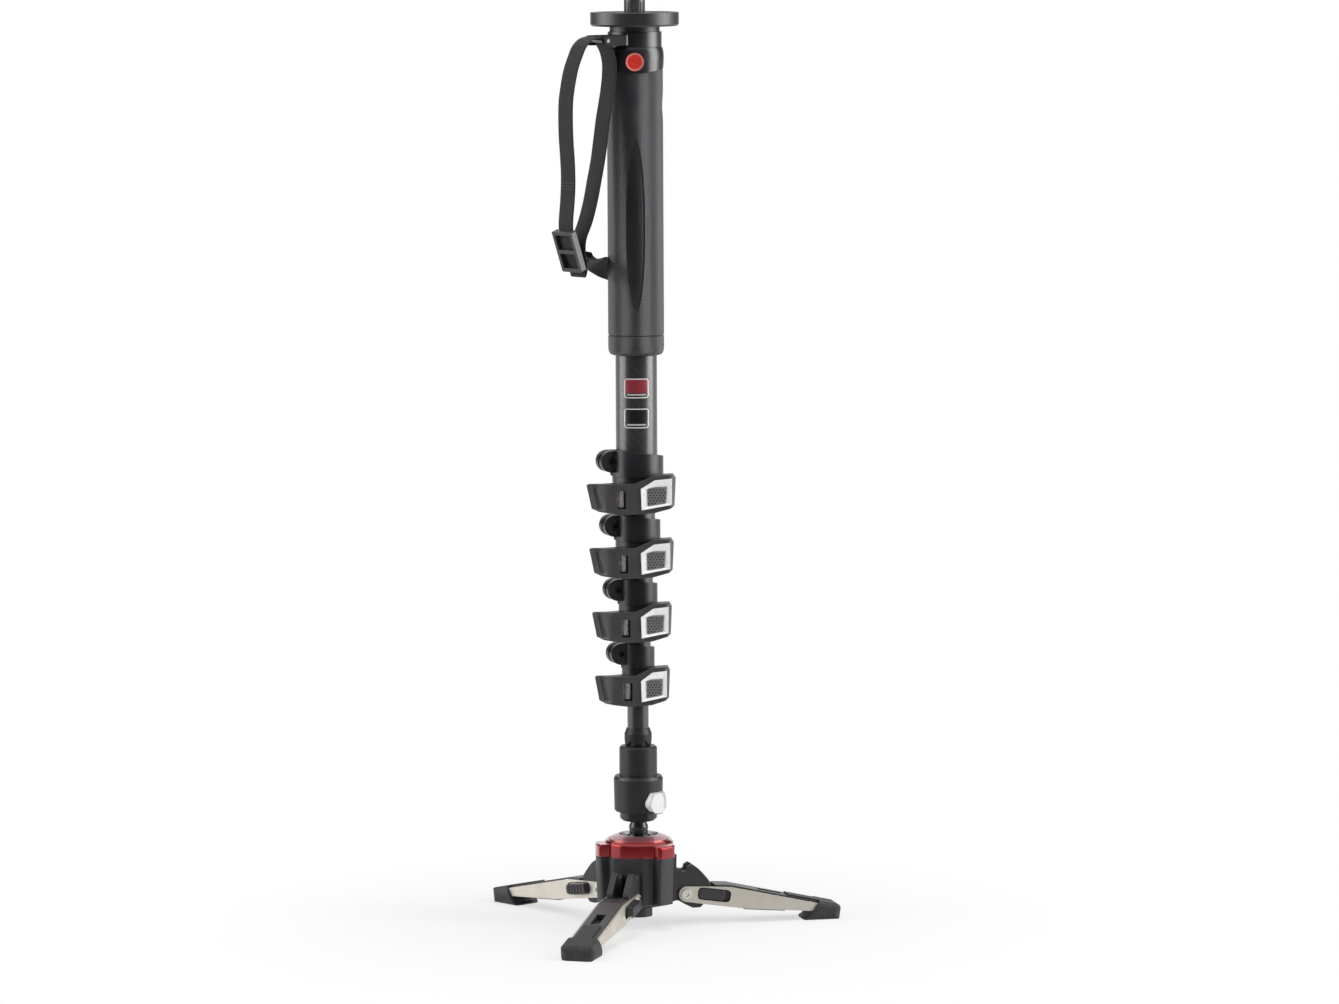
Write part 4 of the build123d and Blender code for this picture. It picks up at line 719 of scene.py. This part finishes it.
# %% Red ring and badge
def red_anodising():
    finish = Finish("red_anodising", 1.7 * mm)
    cone_out, cone_in, land_out = 24.2 * mm, 18.2 * mm, 17.2 * mm
    marks_round, mark_width, mark_length = 48, 0.09, 2.2 * mm
    cone_height = 70.6 * mm
    radius = finish.from_axis()
    high = finish.step(finish.z, cone_height, cone_height + 0.6 * mm)
    cone = high * (1 - finish.step(radius, cone_out, cone_out + 0.5 * mm))
    land = high * (1 - finish.step(radius, land_out, land_out + 0.3 * mm))
    beat = finish.turned() * (marks_round / (2 * math.pi))
    mark = abs(beat % 1.0 - 0.5) < mark_width
    band = finish.step(radius, cone_in, cone_in + 0.3 * mm) * (
        1 - finish.step(radius, cone_in + mark_length, cone_in + mark_length + 0.2 * mm))
    marked = mark * band * cone
    streaks = finish.grain(0.5 * mm, stretch=(12, 12, 1), detail=3.0)
    clouds = finish.grain(9 * mm, detail=3.0)
    red = finish.shade(tone(142, 9, 20), clouds * 0.14 + streaks * 0.14 + 0.88)
    # Painted sheen: the whole cone is painted paler grey-pink, for the light on its top.
    base = finish.mix(cone * 0.75, red, tone(168, 112, 116))
    base = finish.mix(land, base, tone(190, 184, 184))
    base = finish.mix(marked * 0.8, base, tone(226, 214, 214))
    base = finish.mix(finish.worn() * 0.35, base, tone(226, 120, 120))
    gloss = clouds * 0.08 + cone * 0.25 + 0.14
    return finish.done(base, gloss, streaks, 0.003 * mm, Metallic=0.75,
                       Coat_Weight=1.0, Coat_Roughness=0.12)


def badge_enamel():
    finish = Finish("badge_enamel", 0.25 * mm)
    badge_height, rim_radius = 691.6 * mm, 5.5 * mm
    above_middle = finish.z - badge_height
    across = (finish.x * finish.x + above_middle * above_middle) ** 0.5
    rim = finish.step(across, rim_radius, rim_radius + 0.2 * mm)
    depth = finish.grain(3 * mm, detail=2.0)
    enamel = finish.shade(tone(214, 52, 46), depth * 0.2 + 0.9)
    base = finish.mix(rim * 0.75, enamel, tone(236, 150, 140))
    return finish.done(base, depth * 0.1 + 0.22, depth, 0.03 * mm, Coat_Weight=0.6)


paint(red_anodising(), "red_collar")
paint(badge_enamel(), "crown_badge")

# %% [markdown]
# ## Hub, ball and pins
# The hub is a casting with a matt black coat over a fine pebbled skin. The ball in it
# is polished metal that mirrors the dark card, so it looks almost black with a few
# bright spots. The hinge pins are polished steel.

# %% Hub, ball and pins
def cast_coat():
    finish = Finish("cast_coat", 0.7 * mm)
    pebbles = finish.grain(0.7 * mm, detail=2.0)
    clouds = finish.grain(15 * mm, detail=4.0)
    edges = finish.worn(1.6)
    base = finish.shade(tone(38, 37, 40), clouds * 0.4 + pebbles * 0.2 + 0.7)
    base = finish.mix(edges * 0.35, base, tone(110, 108, 108))
    return finish.done(base, clouds * 0.14 + 0.42 - edges * 0.08, pebbles, 0.06 * mm)


def polished(name, colour, roughness):
    finish = Finish(name, 0.2 * mm)
    hairlines = finish.grain(0.4 * mm, stretch=(1, 1, 8), detail=3.0)
    base = finish.shade(colour, hairlines * 0.3 + 0.85)
    return finish.done(base, hairlines * 0.12 + roughness, hairlines, 0.008 * mm, Metallic=1.0)


paint(cast_coat(), "hub")
paint(polished("ball_polish", tone(92, 92, 95), 0.08), "ball")
paint(polished("pin_steel", tone(206, 204, 200), 0.2), "leg_pins")

# %% [markdown]
# ## Leg plates
# The side plates of the legs are stamped aluminium, anodised a pale champagne. Rolling
# left fine lines along each leg. Noise is stretched along the leg's own direction, so
# each leg turns the pattern by its own angle about the column.

# %% Champagne leg plates
def champagne(side):
    finish = Finish(f"champagne_{side}", 0.3 * mm)
    angle = math.radians(leg_directions[side])
    along = finish.x * math.cos(angle) + finish.y * math.sin(angle)
    beside = finish.y * math.cos(angle) - finish.x * math.sin(angle)
    leg_frame = finish.add("ShaderNodeCombineXYZ", None, {0: along, 1: beside, 2: finish.z})
    rolled = finish.grain(0.35 * mm, stretch=(40, 1, 1), detail=3.0, along=leg_frame)
    blasted = finish.grain(0.3 * mm)
    clouds = finish.grain(12 * mm, detail=4.0)
    body = finish.mix(clouds, tone(186, 180, 168), tone(206, 201, 192))
    base = finish.shade(body, rolled * 0.28 + 0.84)
    base = finish.mix(finish.worn() * 0.5, base, tone(236, 234, 230))
    gloss = rolled * 0.14 + clouds * 0.08 + 0.34
    return finish.done(base, gloss, rolled * 0.7 + blasted * 0.3, 0.02 * mm, Metallic=0.75)


for side in leg_directions:
    paint(champagne(side), f"{side}_leg_channel")

# %% [markdown]
# ## Buckle and strap bar
# The bar in the collar's lug is dull steel and the ladder buckle on the strap is black
# plastic. They are one node in CAD, so the finish changes with height.

# %% Buckle and bar
def strap_metal_finish():
    finish = Finish("buckle_and_bar", 0.5 * mm)
    between_them = 690 * mm
    metal = finish.z > between_them
    pits = finish.grain(0.5 * mm)
    rubbed = finish.worn()
    plastic = finish.mix(rubbed * 0.5, finish.shade(tone(46, 45, 46), pits * 0.4 + 0.8),
                         tone(136, 134, 132))
    steel = finish.shade(tone(112, 110, 110), pits * 0.4 + 0.8)
    base = finish.mix(metal, plastic, steel)
    return finish.done(base, 0.34 + metal * 0.06 + pits * 0.1, pits, 0.03 * mm,
                       Metallic=metal * 0.3)


paint(strap_metal_finish(), "strap_metal")
print("nodes without a finish yet:", sorted(set(parts) - set(painted)))

# %% [markdown]
# ## Wrist strap
# The strap is flat nylon webbing, 17 mm wide. It hangs from the bar in a long loop,
# runs through the buckle and leaves towards the back of the grip. Webbing this stiff
# keeps a clean curve, so it is swept rather than simulated: a smooth curve through the
# strap's places, and a flat oval cross section carried along it. The places are shares
# of the loop's reach and drop, counted from the bar.

# %% Route of the strap
strap_turn = math.radians(221.4)
outwards = Vector((math.cos(strap_turn), math.sin(strap_turn), 0))
sideways = Vector((math.sin(strap_turn), -math.cos(strap_turn), 0))
bar_reach, bar_height, wrap = 38 * mm, 708.525 * mm, 2.65 * mm
strap_reach, strap_drop = 36 * mm, 184 * mm
strap_shares = [
    (0.333, -0.008), (0.544, 0.022), (0.667, 0.064), (0.786, 0.115), (0.892, 0.193),
    (0.944, 0.255), (0.956, 0.335), (0.943, 0.416), (0.908, 0.502), (0.892, 0.588),
    (0.915, 0.674), (0.955, 0.745), (0.965, 0.790), (0.905, 0.860), (0.670, 0.965),
    (0.640, 0.990), (0.615, 1.003), (0.578, 0.990), (0.555, 0.965), (0.600, 0.915),
    (0.610, 0.880), (0.590, 0.845), (0.400, 0.766), (0.250, 0.680), (0.139, 0.594),
    (0.031, 0.508), (-0.050, 0.421), (-0.111, 0.350), (-0.189, 0.280), (-0.264, 0.212),
    (-0.308, 0.147), (-0.312, 0.098), (-0.240, 0.048),
]


def strap_place(reach, height):
    """A point in the upright plane of the strap."""
    return outwards * reach + Vector((0, 0, height))


loop_places = [strap_place(bar_reach, bar_height + wrap)]
loop_places += [strap_place(bar_reach + strap_reach * out, bar_height - strap_drop * down)
                for out, down in strap_shares]
loop_places += [strap_place(bar_reach - wrap, bar_height),
                strap_place(bar_reach - wrap * math.sqrt(0.5), bar_height + wrap * math.sqrt(0.5))]
print("places along the strap loop:", len(loop_places))

# %% [markdown]
# A curve object would pass through the places too, but the weave needs runs of equal
# length, so the curve is worked out here. Each stretch is blended from its four nearest
# places, and the square root of their distances sets the pace, so that close places
# make no loops. Then the result is cut into equal runs.

# %% A smooth closed route
def between(a, b, low, high, t):
    """The point between a and b where t lies between low and high."""
    return a + (b - a) * ((t - low) / (high - low))


def smooth_route(places, spacing):
    """A closed curve through the places, cut into equal short runs, and its length."""
    cuts, fine = 16, []
    for i in range(len(places)):
        before, start, end, after = (places[(i + k) % len(places)] for k in (-1, 0, 1, 2))
        spans = ((before, start), (start, end), (end, after))
        knots = [0.0]
        for a, b in spans:
            knots.append(knots[-1] + (b - a).length ** 0.5)
        for step in range(cuts):
            t = knots[1] + (knots[2] - knots[1]) * step / cuts
            near = [between(a, b, knots[k], knots[k + 1], t) for k, (a, b) in enumerate(spans)]
            mid = [between(near[k], near[k + 1], knots[k], knots[k + 2], t) for k in (0, 1)]
            fine.append(between(mid[0], mid[1], knots[1], knots[2], t))
    fine.append(places[0])
    lengths = [0.0]
    for a, b in zip(fine, fine[1:]):
        lengths.append(lengths[-1] + (b - a).length)
    steps = round(lengths[-1] / spacing)
    route, k = [], 0
    for step in range(steps):
        goal = lengths[-1] * step / steps
        while lengths[k + 1] < goal:
            k += 1
        share = (goal - lengths[k]) / (lengths[k + 1] - lengths[k])
        route.append(fine[k].lerp(fine[k + 1], share))
    return route, lengths[-1]


route_spacing = 1.2 * mm
loop_route, loop_length = smooth_route(loop_places, route_spacing)
print("strap loop in mm:", round(loop_length / mm), "in", len(loop_route), "steps")

# %% [markdown]
# A tube of any cross section is a row of rings with a skin of four-sided faces between
# them. The strap, its stitches and the labels all get their skin from one function.

# %% The skin of a tube
def ring_faces(rings, around, first=0, closed=False):
    """The skin of a tube whose rings have so many points each. Open ends are capped."""
    faces = []
    for i in range(rings if closed else rings - 1):
        a, b = first + i * around, first + (i + 1) % rings * around
        faces += [(a + k, a + (k + 1) % around, b + (k + 1) % around, b + k)
                  for k in range(around)]
    if not closed:
        last = first + (rings - 1) * around
        faces.append(tuple(reversed(range(first, first + around))))
        faces.append(tuple(range(last, last + around)))
    return faces


print("faces of a closed ring of six squares:", len(ring_faces(6, 4, closed=True)))

# %% [markdown]
# The cross section is a flat oval with thicker, rounded selvedges: powers below one of
# the cosine and sine pull a circle out towards a rectangle. A little noise, the same on
# each run, makes the width waver as real webbing does. Each point of the mesh also
# stores how far it is along and across the webbing, in metres, for the weave.

# %% Sweep the webbing
webbing_width, webbing_thickness, section_points = 17 * mm, 1.6 * mm, 28
width_power, depth_power, body_share = 0.32, 0.5, 0.86
selvedge_start, selvedge_swell, face_start = 0.8, 0.16, 0.3
waver_share, waver_rate = 0.012, 90


def webbing(name, route, widths, closed):
    """A closed band along a route. widths gives the across direction at each step."""
    count = len(route)
    points, run_values, across_values = [], [], []
    run = 0.0
    for i, (centre, side) in enumerate(zip(route, widths)):
        ahead = route[(i + 1) % count] if closed or i + 1 < count else route[i]
        behind = route[i - 1] if closed or i > 0 else route[i]
        forward = (ahead - behind).normalized()
        side = (side - forward * side.dot(forward)).normalized()
        out = side.cross(forward)
        if i:
            run += (centre - route[i - 1]).length
        waver = 1 + waver_share * noise(centre * waver_rate)
        for k in range(section_points):
            angle = 2 * math.pi * k / section_points
            c, s = math.cos(angle), math.sin(angle)
            along_width = math.copysign(abs(c) ** width_power, c)
            along_depth = math.copysign(abs(s) ** depth_power, s)
            in_selvedge = max(0, abs(along_width) - selvedge_start) / (1 - selvedge_start)
            swell = 1 + selvedge_swell * in_selvedge * (abs(s) > face_start)
            wide = webbing_width / 2 * along_width * waver
            deep = webbing_thickness / 2 * along_depth * body_share * swell
            points.append(centre + side * wide + out * deep)
            run_values.append(run)
            across_values.append(wide)
    band = add_mesh(name, points, ring_faces(count, section_points, closed=closed))
    for store, values in (("run", run_values), ("across", across_values)):
        band.data.attributes.new(store, "FLOAT", "POINT").data.foreach_set("value", values)
    return band


strap_loop = webbing("strap_loop", loop_route, [sideways] * len(loop_route), True)
print("points of the strap loop:", len(strap_loop.data.vertices))

# %% [markdown]
# The tail leaves the loop inside the buckle. It first swings round to its own direction
# and then runs straight, twisting by a quarter turn on its way.

# %% Tail of the strap
tail_root = strap_place(bar_reach + strap_reach * 0.600, bar_height - strap_drop * 0.915)
tail_start = tail_root + Vector((7.11, 6.21, -3.17)) * mm
tail_run = Vector((16.6, 60.2, -12.5)) * mm
root_steps, tail_steps = 8, 44
twist_shares, twist_angles = (0.0, 0.3, 0.6, 0.85, 1.0), (0, 28, 58, 84, 90)
tail_level = tail_run.cross(Vector((0, 0, 1))).normalized()
tail_rise = tail_level.cross(tail_run).normalized()

tail_route, tail_sides = [], []
for step in range(root_steps):
    tail_route.append(tail_root.lerp(tail_start, step / root_steps))
    tail_sides.append((-sideways).lerp(-tail_level, step / root_steps).normalized())
for step in range(tail_steps + 1):
    share = step / tail_steps
    twist = math.radians(interp(share, twist_shares, twist_angles))
    tail_route.append(tail_start + tail_run * share)
    tail_sides.append(-tail_level * math.cos(twist) - tail_rise * math.sin(twist))
strap_tail = webbing("strap_tail", tail_route, tail_sides, False)

# %% [markdown]
# ## The weave
# Narrow webbing is woven with ribs across it and fine columns of yarn along it. Both
# come from the stored distances: rows along the run, columns across the width, with
# every other column shifted by half a row. That gives the small chevrons seen when the
# strap is held close. Loose fibres make the tone uneven and the sheen soft.

# %% Webbing finish
def woven():
    finish = Finish("woven_webbing", 0.2 * mm)
    row_pitch, column_pitch = 0.95 * mm, 1.0 * mm
    run = finish.add("ShaderNodeAttribute", {"attribute_name": "run"}, output="Fac")
    across = finish.add("ShaderNodeAttribute", {"attribute_name": "across"}, output="Fac")
    column = across / column_pitch
    shift = (column.maths("FLOOR") % 2.0) * 0.5
    lean = abs(column % 1.0 - 0.5)
    row = abs((run / row_pitch + shift + lean) % 1.0 - 0.5) * 2
    yarn = abs(column % 1.0 - 0.5) * 2
    weave = row * 0.65 + (1 - yarn) * 0.35
    fibres = finish.grain(0.3 * mm, detail=4.0)
    clouds = finish.grain(9 * mm, detail=4.0)
    # Painted shade: the weave's grooves are near black and its ribs lighter.
    body = finish.mix(finish.step(weave, 0.2, 0.9), tone(5, 5, 6), tone(42, 42, 47))
    base = finish.shade(body, fibres * 0.5 + clouds * 0.4 + 0.6)
    return finish.done(base, fibres * 0.2 + 0.62, weave + fibres * 0.25, 0.28 * mm,
                       Sheen_Weight=0.08, Sheen_Roughness=0.5, Specular_IOR_Level=0.3)


webbing_finish = woven()
for band in (strap_loop, strap_tail):
    band.data.materials.append(webbing_finish)
    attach(band, "section_1")
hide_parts("wrist_strap")
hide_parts("wrist_strap")
print("woven pieces:", strap_loop.name, strap_tail.name)

# %% [markdown]
# ## Stitching
# Rows of thread lock the doubled webbing above the buckle and near the bar. The places
# of the stitches are counted along the strap's own route, so they sit on its surface
# whatever its curve.

# %% Where the stitches go
stitch_heights, stitch_rows, stitch_row_gap, stitches_per_row = (599, 708.5), 3, 2.4 * mm, 7
stitched_share, steps_at_bar = 0.86, 4


def step_at_height(height):
    """The first step past the bar where the outer strand hangs below a height."""
    return next(i for i, place in enumerate(loop_route)
                if i > steps_at_bar and place.z < height)


def stitch_places():
    """The middle of each stitch, with the ways forward and out of the webbing there."""
    for height in stitch_heights:
        start = step_at_height(height * mm)
        for row in range(stitch_rows):
            i = start + round(row * stitch_row_gap / route_spacing)
            forward = (loop_route[i + 1] - loop_route[i - 1]).normalized()
            out = sideways.cross(forward).normalized()
            for k in range(stitches_per_row):
                share = (k + 0.5) / stitches_per_row - 0.5
                yield (loop_route[i] + sideways * (share * webbing_width * stitched_share)
                       + out * (webbing_thickness / 2)), forward, out


print("stitches:", len(list(stitch_places())))

# %% [markdown]
# Each stitch is a short rounded thread that dips into the webbing at both ends. All of
# them are one mesh. It hangs on the strap as its child.

# %% Stitches
thread_radius, thread_half_length, thread_taper = 0.32 * mm, 0.85 * mm, 0.9
thread_sides, thread_rings = 6, 7


def stitch(middle, forward, out):
    """Points of one short thread across the webbing, thin and sunk at its ends."""
    points = []
    for ring in range(thread_rings):
        bend = ring / (thread_rings - 1) * 2 - 1
        thick = thread_radius * math.sqrt(1 - bend * bend * thread_taper)
        spot = middle + sideways * (thread_half_length * bend) - out * (thread_radius * bend * bend)
        for k in range(thread_sides):
            angle = 2 * math.pi * k / thread_sides
            points.append(spot + forward * (thick * math.cos(angle))
                          + out * (thick * math.sin(angle)))
    return points


def thread_finish():
    finish = Finish("strap_thread", 0.1 * mm)
    twist = finish.grain(0.25 * mm, stretch=(1, 1, 2), detail=2.0)
    return finish.done(finish.shade(tone(78, 78, 84), twist * 0.6 + 0.7), 0.55, twist, 0.05 * mm)


thread_points, thread_faces = [], []
for place in stitch_places():
    thread_faces += ring_faces(thread_rings, thread_sides, first=len(thread_points))
    thread_points += stitch(*place)
stitches = add_mesh("strap_stitches", thread_points, thread_faces)
stitches.data.materials.append(thread_finish())
stitches.parent = strap_loop
print("points of the stitches:", len(thread_points))

# %% [markdown]
# ## Pips on the thumb pads
# The pads have rows of small rubber pips, so a cold thumb doesn't slip. The pads have
# five corners, which follow the size of their lever, and a pip is left out where it
# would stand over the edge.

# %% Outline of a thumb pad
pad_shares = [(0.27, 0.64), (0.45, 0.685), (0.765, 0.69), (0.74, 0.29), (0.28, 0.22)]
pad_height = 32 * mm


def right_reach(n):
    """How far the short end of lever n reaches to the right of the column's axis."""
    return 16.6 * mm + 0.86095 * tube_radii[n]


def pad_outline(n):
    return [(right_reach(n) * x, lock_base(n) + pad_height * z) for x, z in pad_shares]


def inside(point, outline, margin):
    """True if a point is within a convex outline by a margin."""
    signs = set()
    for (x0, y0), (x1, y1) in zip(outline, outline[1:] + outline[:1]):
        length = math.hypot(x1 - x0, y1 - y0)
        distance = ((x1 - x0) * (point[1] - y0) - (y1 - y0) * (point[0] - x0)) / length
        if abs(distance) < margin:
            return False
        signs.add(distance > 0)
    return len(signs) == 1


print("lower left corner of the first pad in mm:", [round(v / mm, 1) for v in pad_outline(0)[-1]])

# %% [markdown]
# The pips are real bumps rather than relief in the finish, because they show in the
# outline of the pad: flattened balls sunk halfway into it in a staggered grid.

# %% Thumb pad pips
pad_front, row_share, flatness, edge_gap = 11.35 * mm, 0.87, 0.55, 1.35
pip_pitch, pip_radius, pip_sides, pip_rings, pip_columns = 2.5 * mm, 0.66 * mm, 12, 8, 12
pip_rubber = rubber("pip_rubber", tone(30, 29, 30), tone(60, 58, 58), 0.2)


def pad_pips(n):
    outline = pad_outline(n)
    front = -tube_radii[n] - pad_front
    low_x = min(x for x, z in outline)
    low_z, high_z = min(z for x, z in outline), max(z for x, z in outline)
    domes = bmesh.new()
    rows = round((high_z - low_z) / (pip_pitch * row_share))
    for row in range(rows + 1):
        z = low_z + (high_z - low_z) * row / rows
        for column in range(pip_columns):
            x = low_x + pip_pitch * (column + 0.5 * (row % 2))
            if not inside((x, z), outline, pip_radius * edge_gap):
                continue
            made = bmesh.ops.create_uvsphere(domes, u_segments=pip_sides, v_segments=pip_rings,
                                             radius=pip_radius)["verts"]
            for vert in made:
                vert.co = Vector((x + vert.co.x, front + vert.co.y * flatness, z + vert.co.z))
    mesh = bpy.data.meshes.new(f"lock{n + 1}_pips")
    domes.to_mesh(mesh)
    domes.free()
    mesh.shade_smooth()
    mesh.materials.append(pip_rubber)
    pips = add_object(mesh.name, mesh)
    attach(pips, f"lever_{n + 1}")
    return pips


for n in range(4):
    pips = pad_pips(n)
    print(pips.name, len(pips.data.vertices) // (pip_sides * (pip_rings - 1) + 2))

# %% [markdown]
# ## Labels on the top tube
# Two small labels sit on the front of the top tube. A flat plate would cut into the
# tube or stand off it, so the plate is bent round it column by column.

# %% Label plates
label_width, label_height, label_corner, border = 20.4 * mm, 15.6 * mm, 2.4 * mm, 0.9 * mm
label_proud, label_columns = 0.22 * mm, 40


def label(name, middle, material):
    """A thin plate bent round the front of the top tube."""
    points = []
    straight = label_width / 2 - label_corner
    for column in range(label_columns + 1):
        x = -label_width / 2 * math.cos(math.pi * column / label_columns)
        past = max(abs(x) - straight, 0)
        half = label_height / 2 - label_corner + math.sqrt(max(label_corner ** 2 - past ** 2, 0))
        at = x / tube_radii[0] - math.pi / 2
        inner, outer = tube_radii[0] - label_proud, tube_radii[0] + label_proud
        for reach, z in ((inner, middle - half), (inner, middle + half),
                         (outer, middle + half), (outer, middle - half)):
            points.append((reach * math.cos(at), reach * math.sin(at), z))
    plate = add_mesh(name, points, ring_faces(label_columns + 1, 4), smooth=False)
    plate.data.materials.append(material)
    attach(plate, "section_1")
    return plate


print("label in mm:", round(label_width / mm, 1), "by", round(label_height / mm, 1))

# %% [markdown]
# Each label is a field in two tones with a pale border and one pale strip. The border
# is measured as the distance to a rounded rectangle, so it keeps its width in the
# corners.

# %% Labels
def printed(name, middle, upper, lower):
    """A pale border round two fields. Shares count down from the label's middle."""
    finish = Finish(name, 0.1 * mm)
    ink = tone(204, 202, 200)
    split, strip_top, strip_end, soft = 0.46, 0.56, 0.70, 0.04
    strip_half_width = 0.38 * label_width
    sideways_off = abs((finish.turned() + math.pi / 2) * tube_radii[0])
    upwards_off = abs(finish.z - middle)
    past_x = (sideways_off - (label_width / 2 - label_corner)).maths("MAXIMUM", 0.0)
    past_z = (upwards_off - (label_height / 2 - label_corner)).maths("MAXIMUM", 0.0)
    out = (past_x * past_x + past_z * past_z) ** 0.5
    edge = finish.step(out, label_corner - border, label_corner - border + 0.15 * mm)
    fine = finish.grain(0.4 * mm, detail=3.0)
    clouds = finish.grain(4 * mm, detail=3.0)
    below = (middle - finish.z) / (label_height / 2)
    plain = finish.mix(finish.step(below, split, split + soft), upper, lower)
    strip = finish.step(below, strip_top, strip_top + soft)
    strip = strip * (1 - finish.step(below, strip_end, strip_end + soft))
    strip = strip * (sideways_off < strip_half_width)
    plain = finish.shade(finish.mix(strip * 0.75, plain, ink), clouds * 0.3 + 0.85)
    base = finish.shade(finish.mix(edge, plain, ink), fine * 0.2 + 0.9)
    return finish.done(base, fine * 0.15 + 0.3, edge + fine * 0.1, 0.1 * mm, Coat_Weight=0.3)


labels = {"tube_label_high": (433.5 * mm, tone(128, 36, 48), tone(36, 34, 36)),
          "tube_label_low": (409.6 * mm, tone(22, 22, 24), tone(36, 36, 38))}
for name, (middle, upper, lower) in labels.items():
    plate = label(name, middle, printed(name, middle, upper, lower))
    print(plate.name, "at", round(middle / mm, 1), "mm")

# %% [markdown]
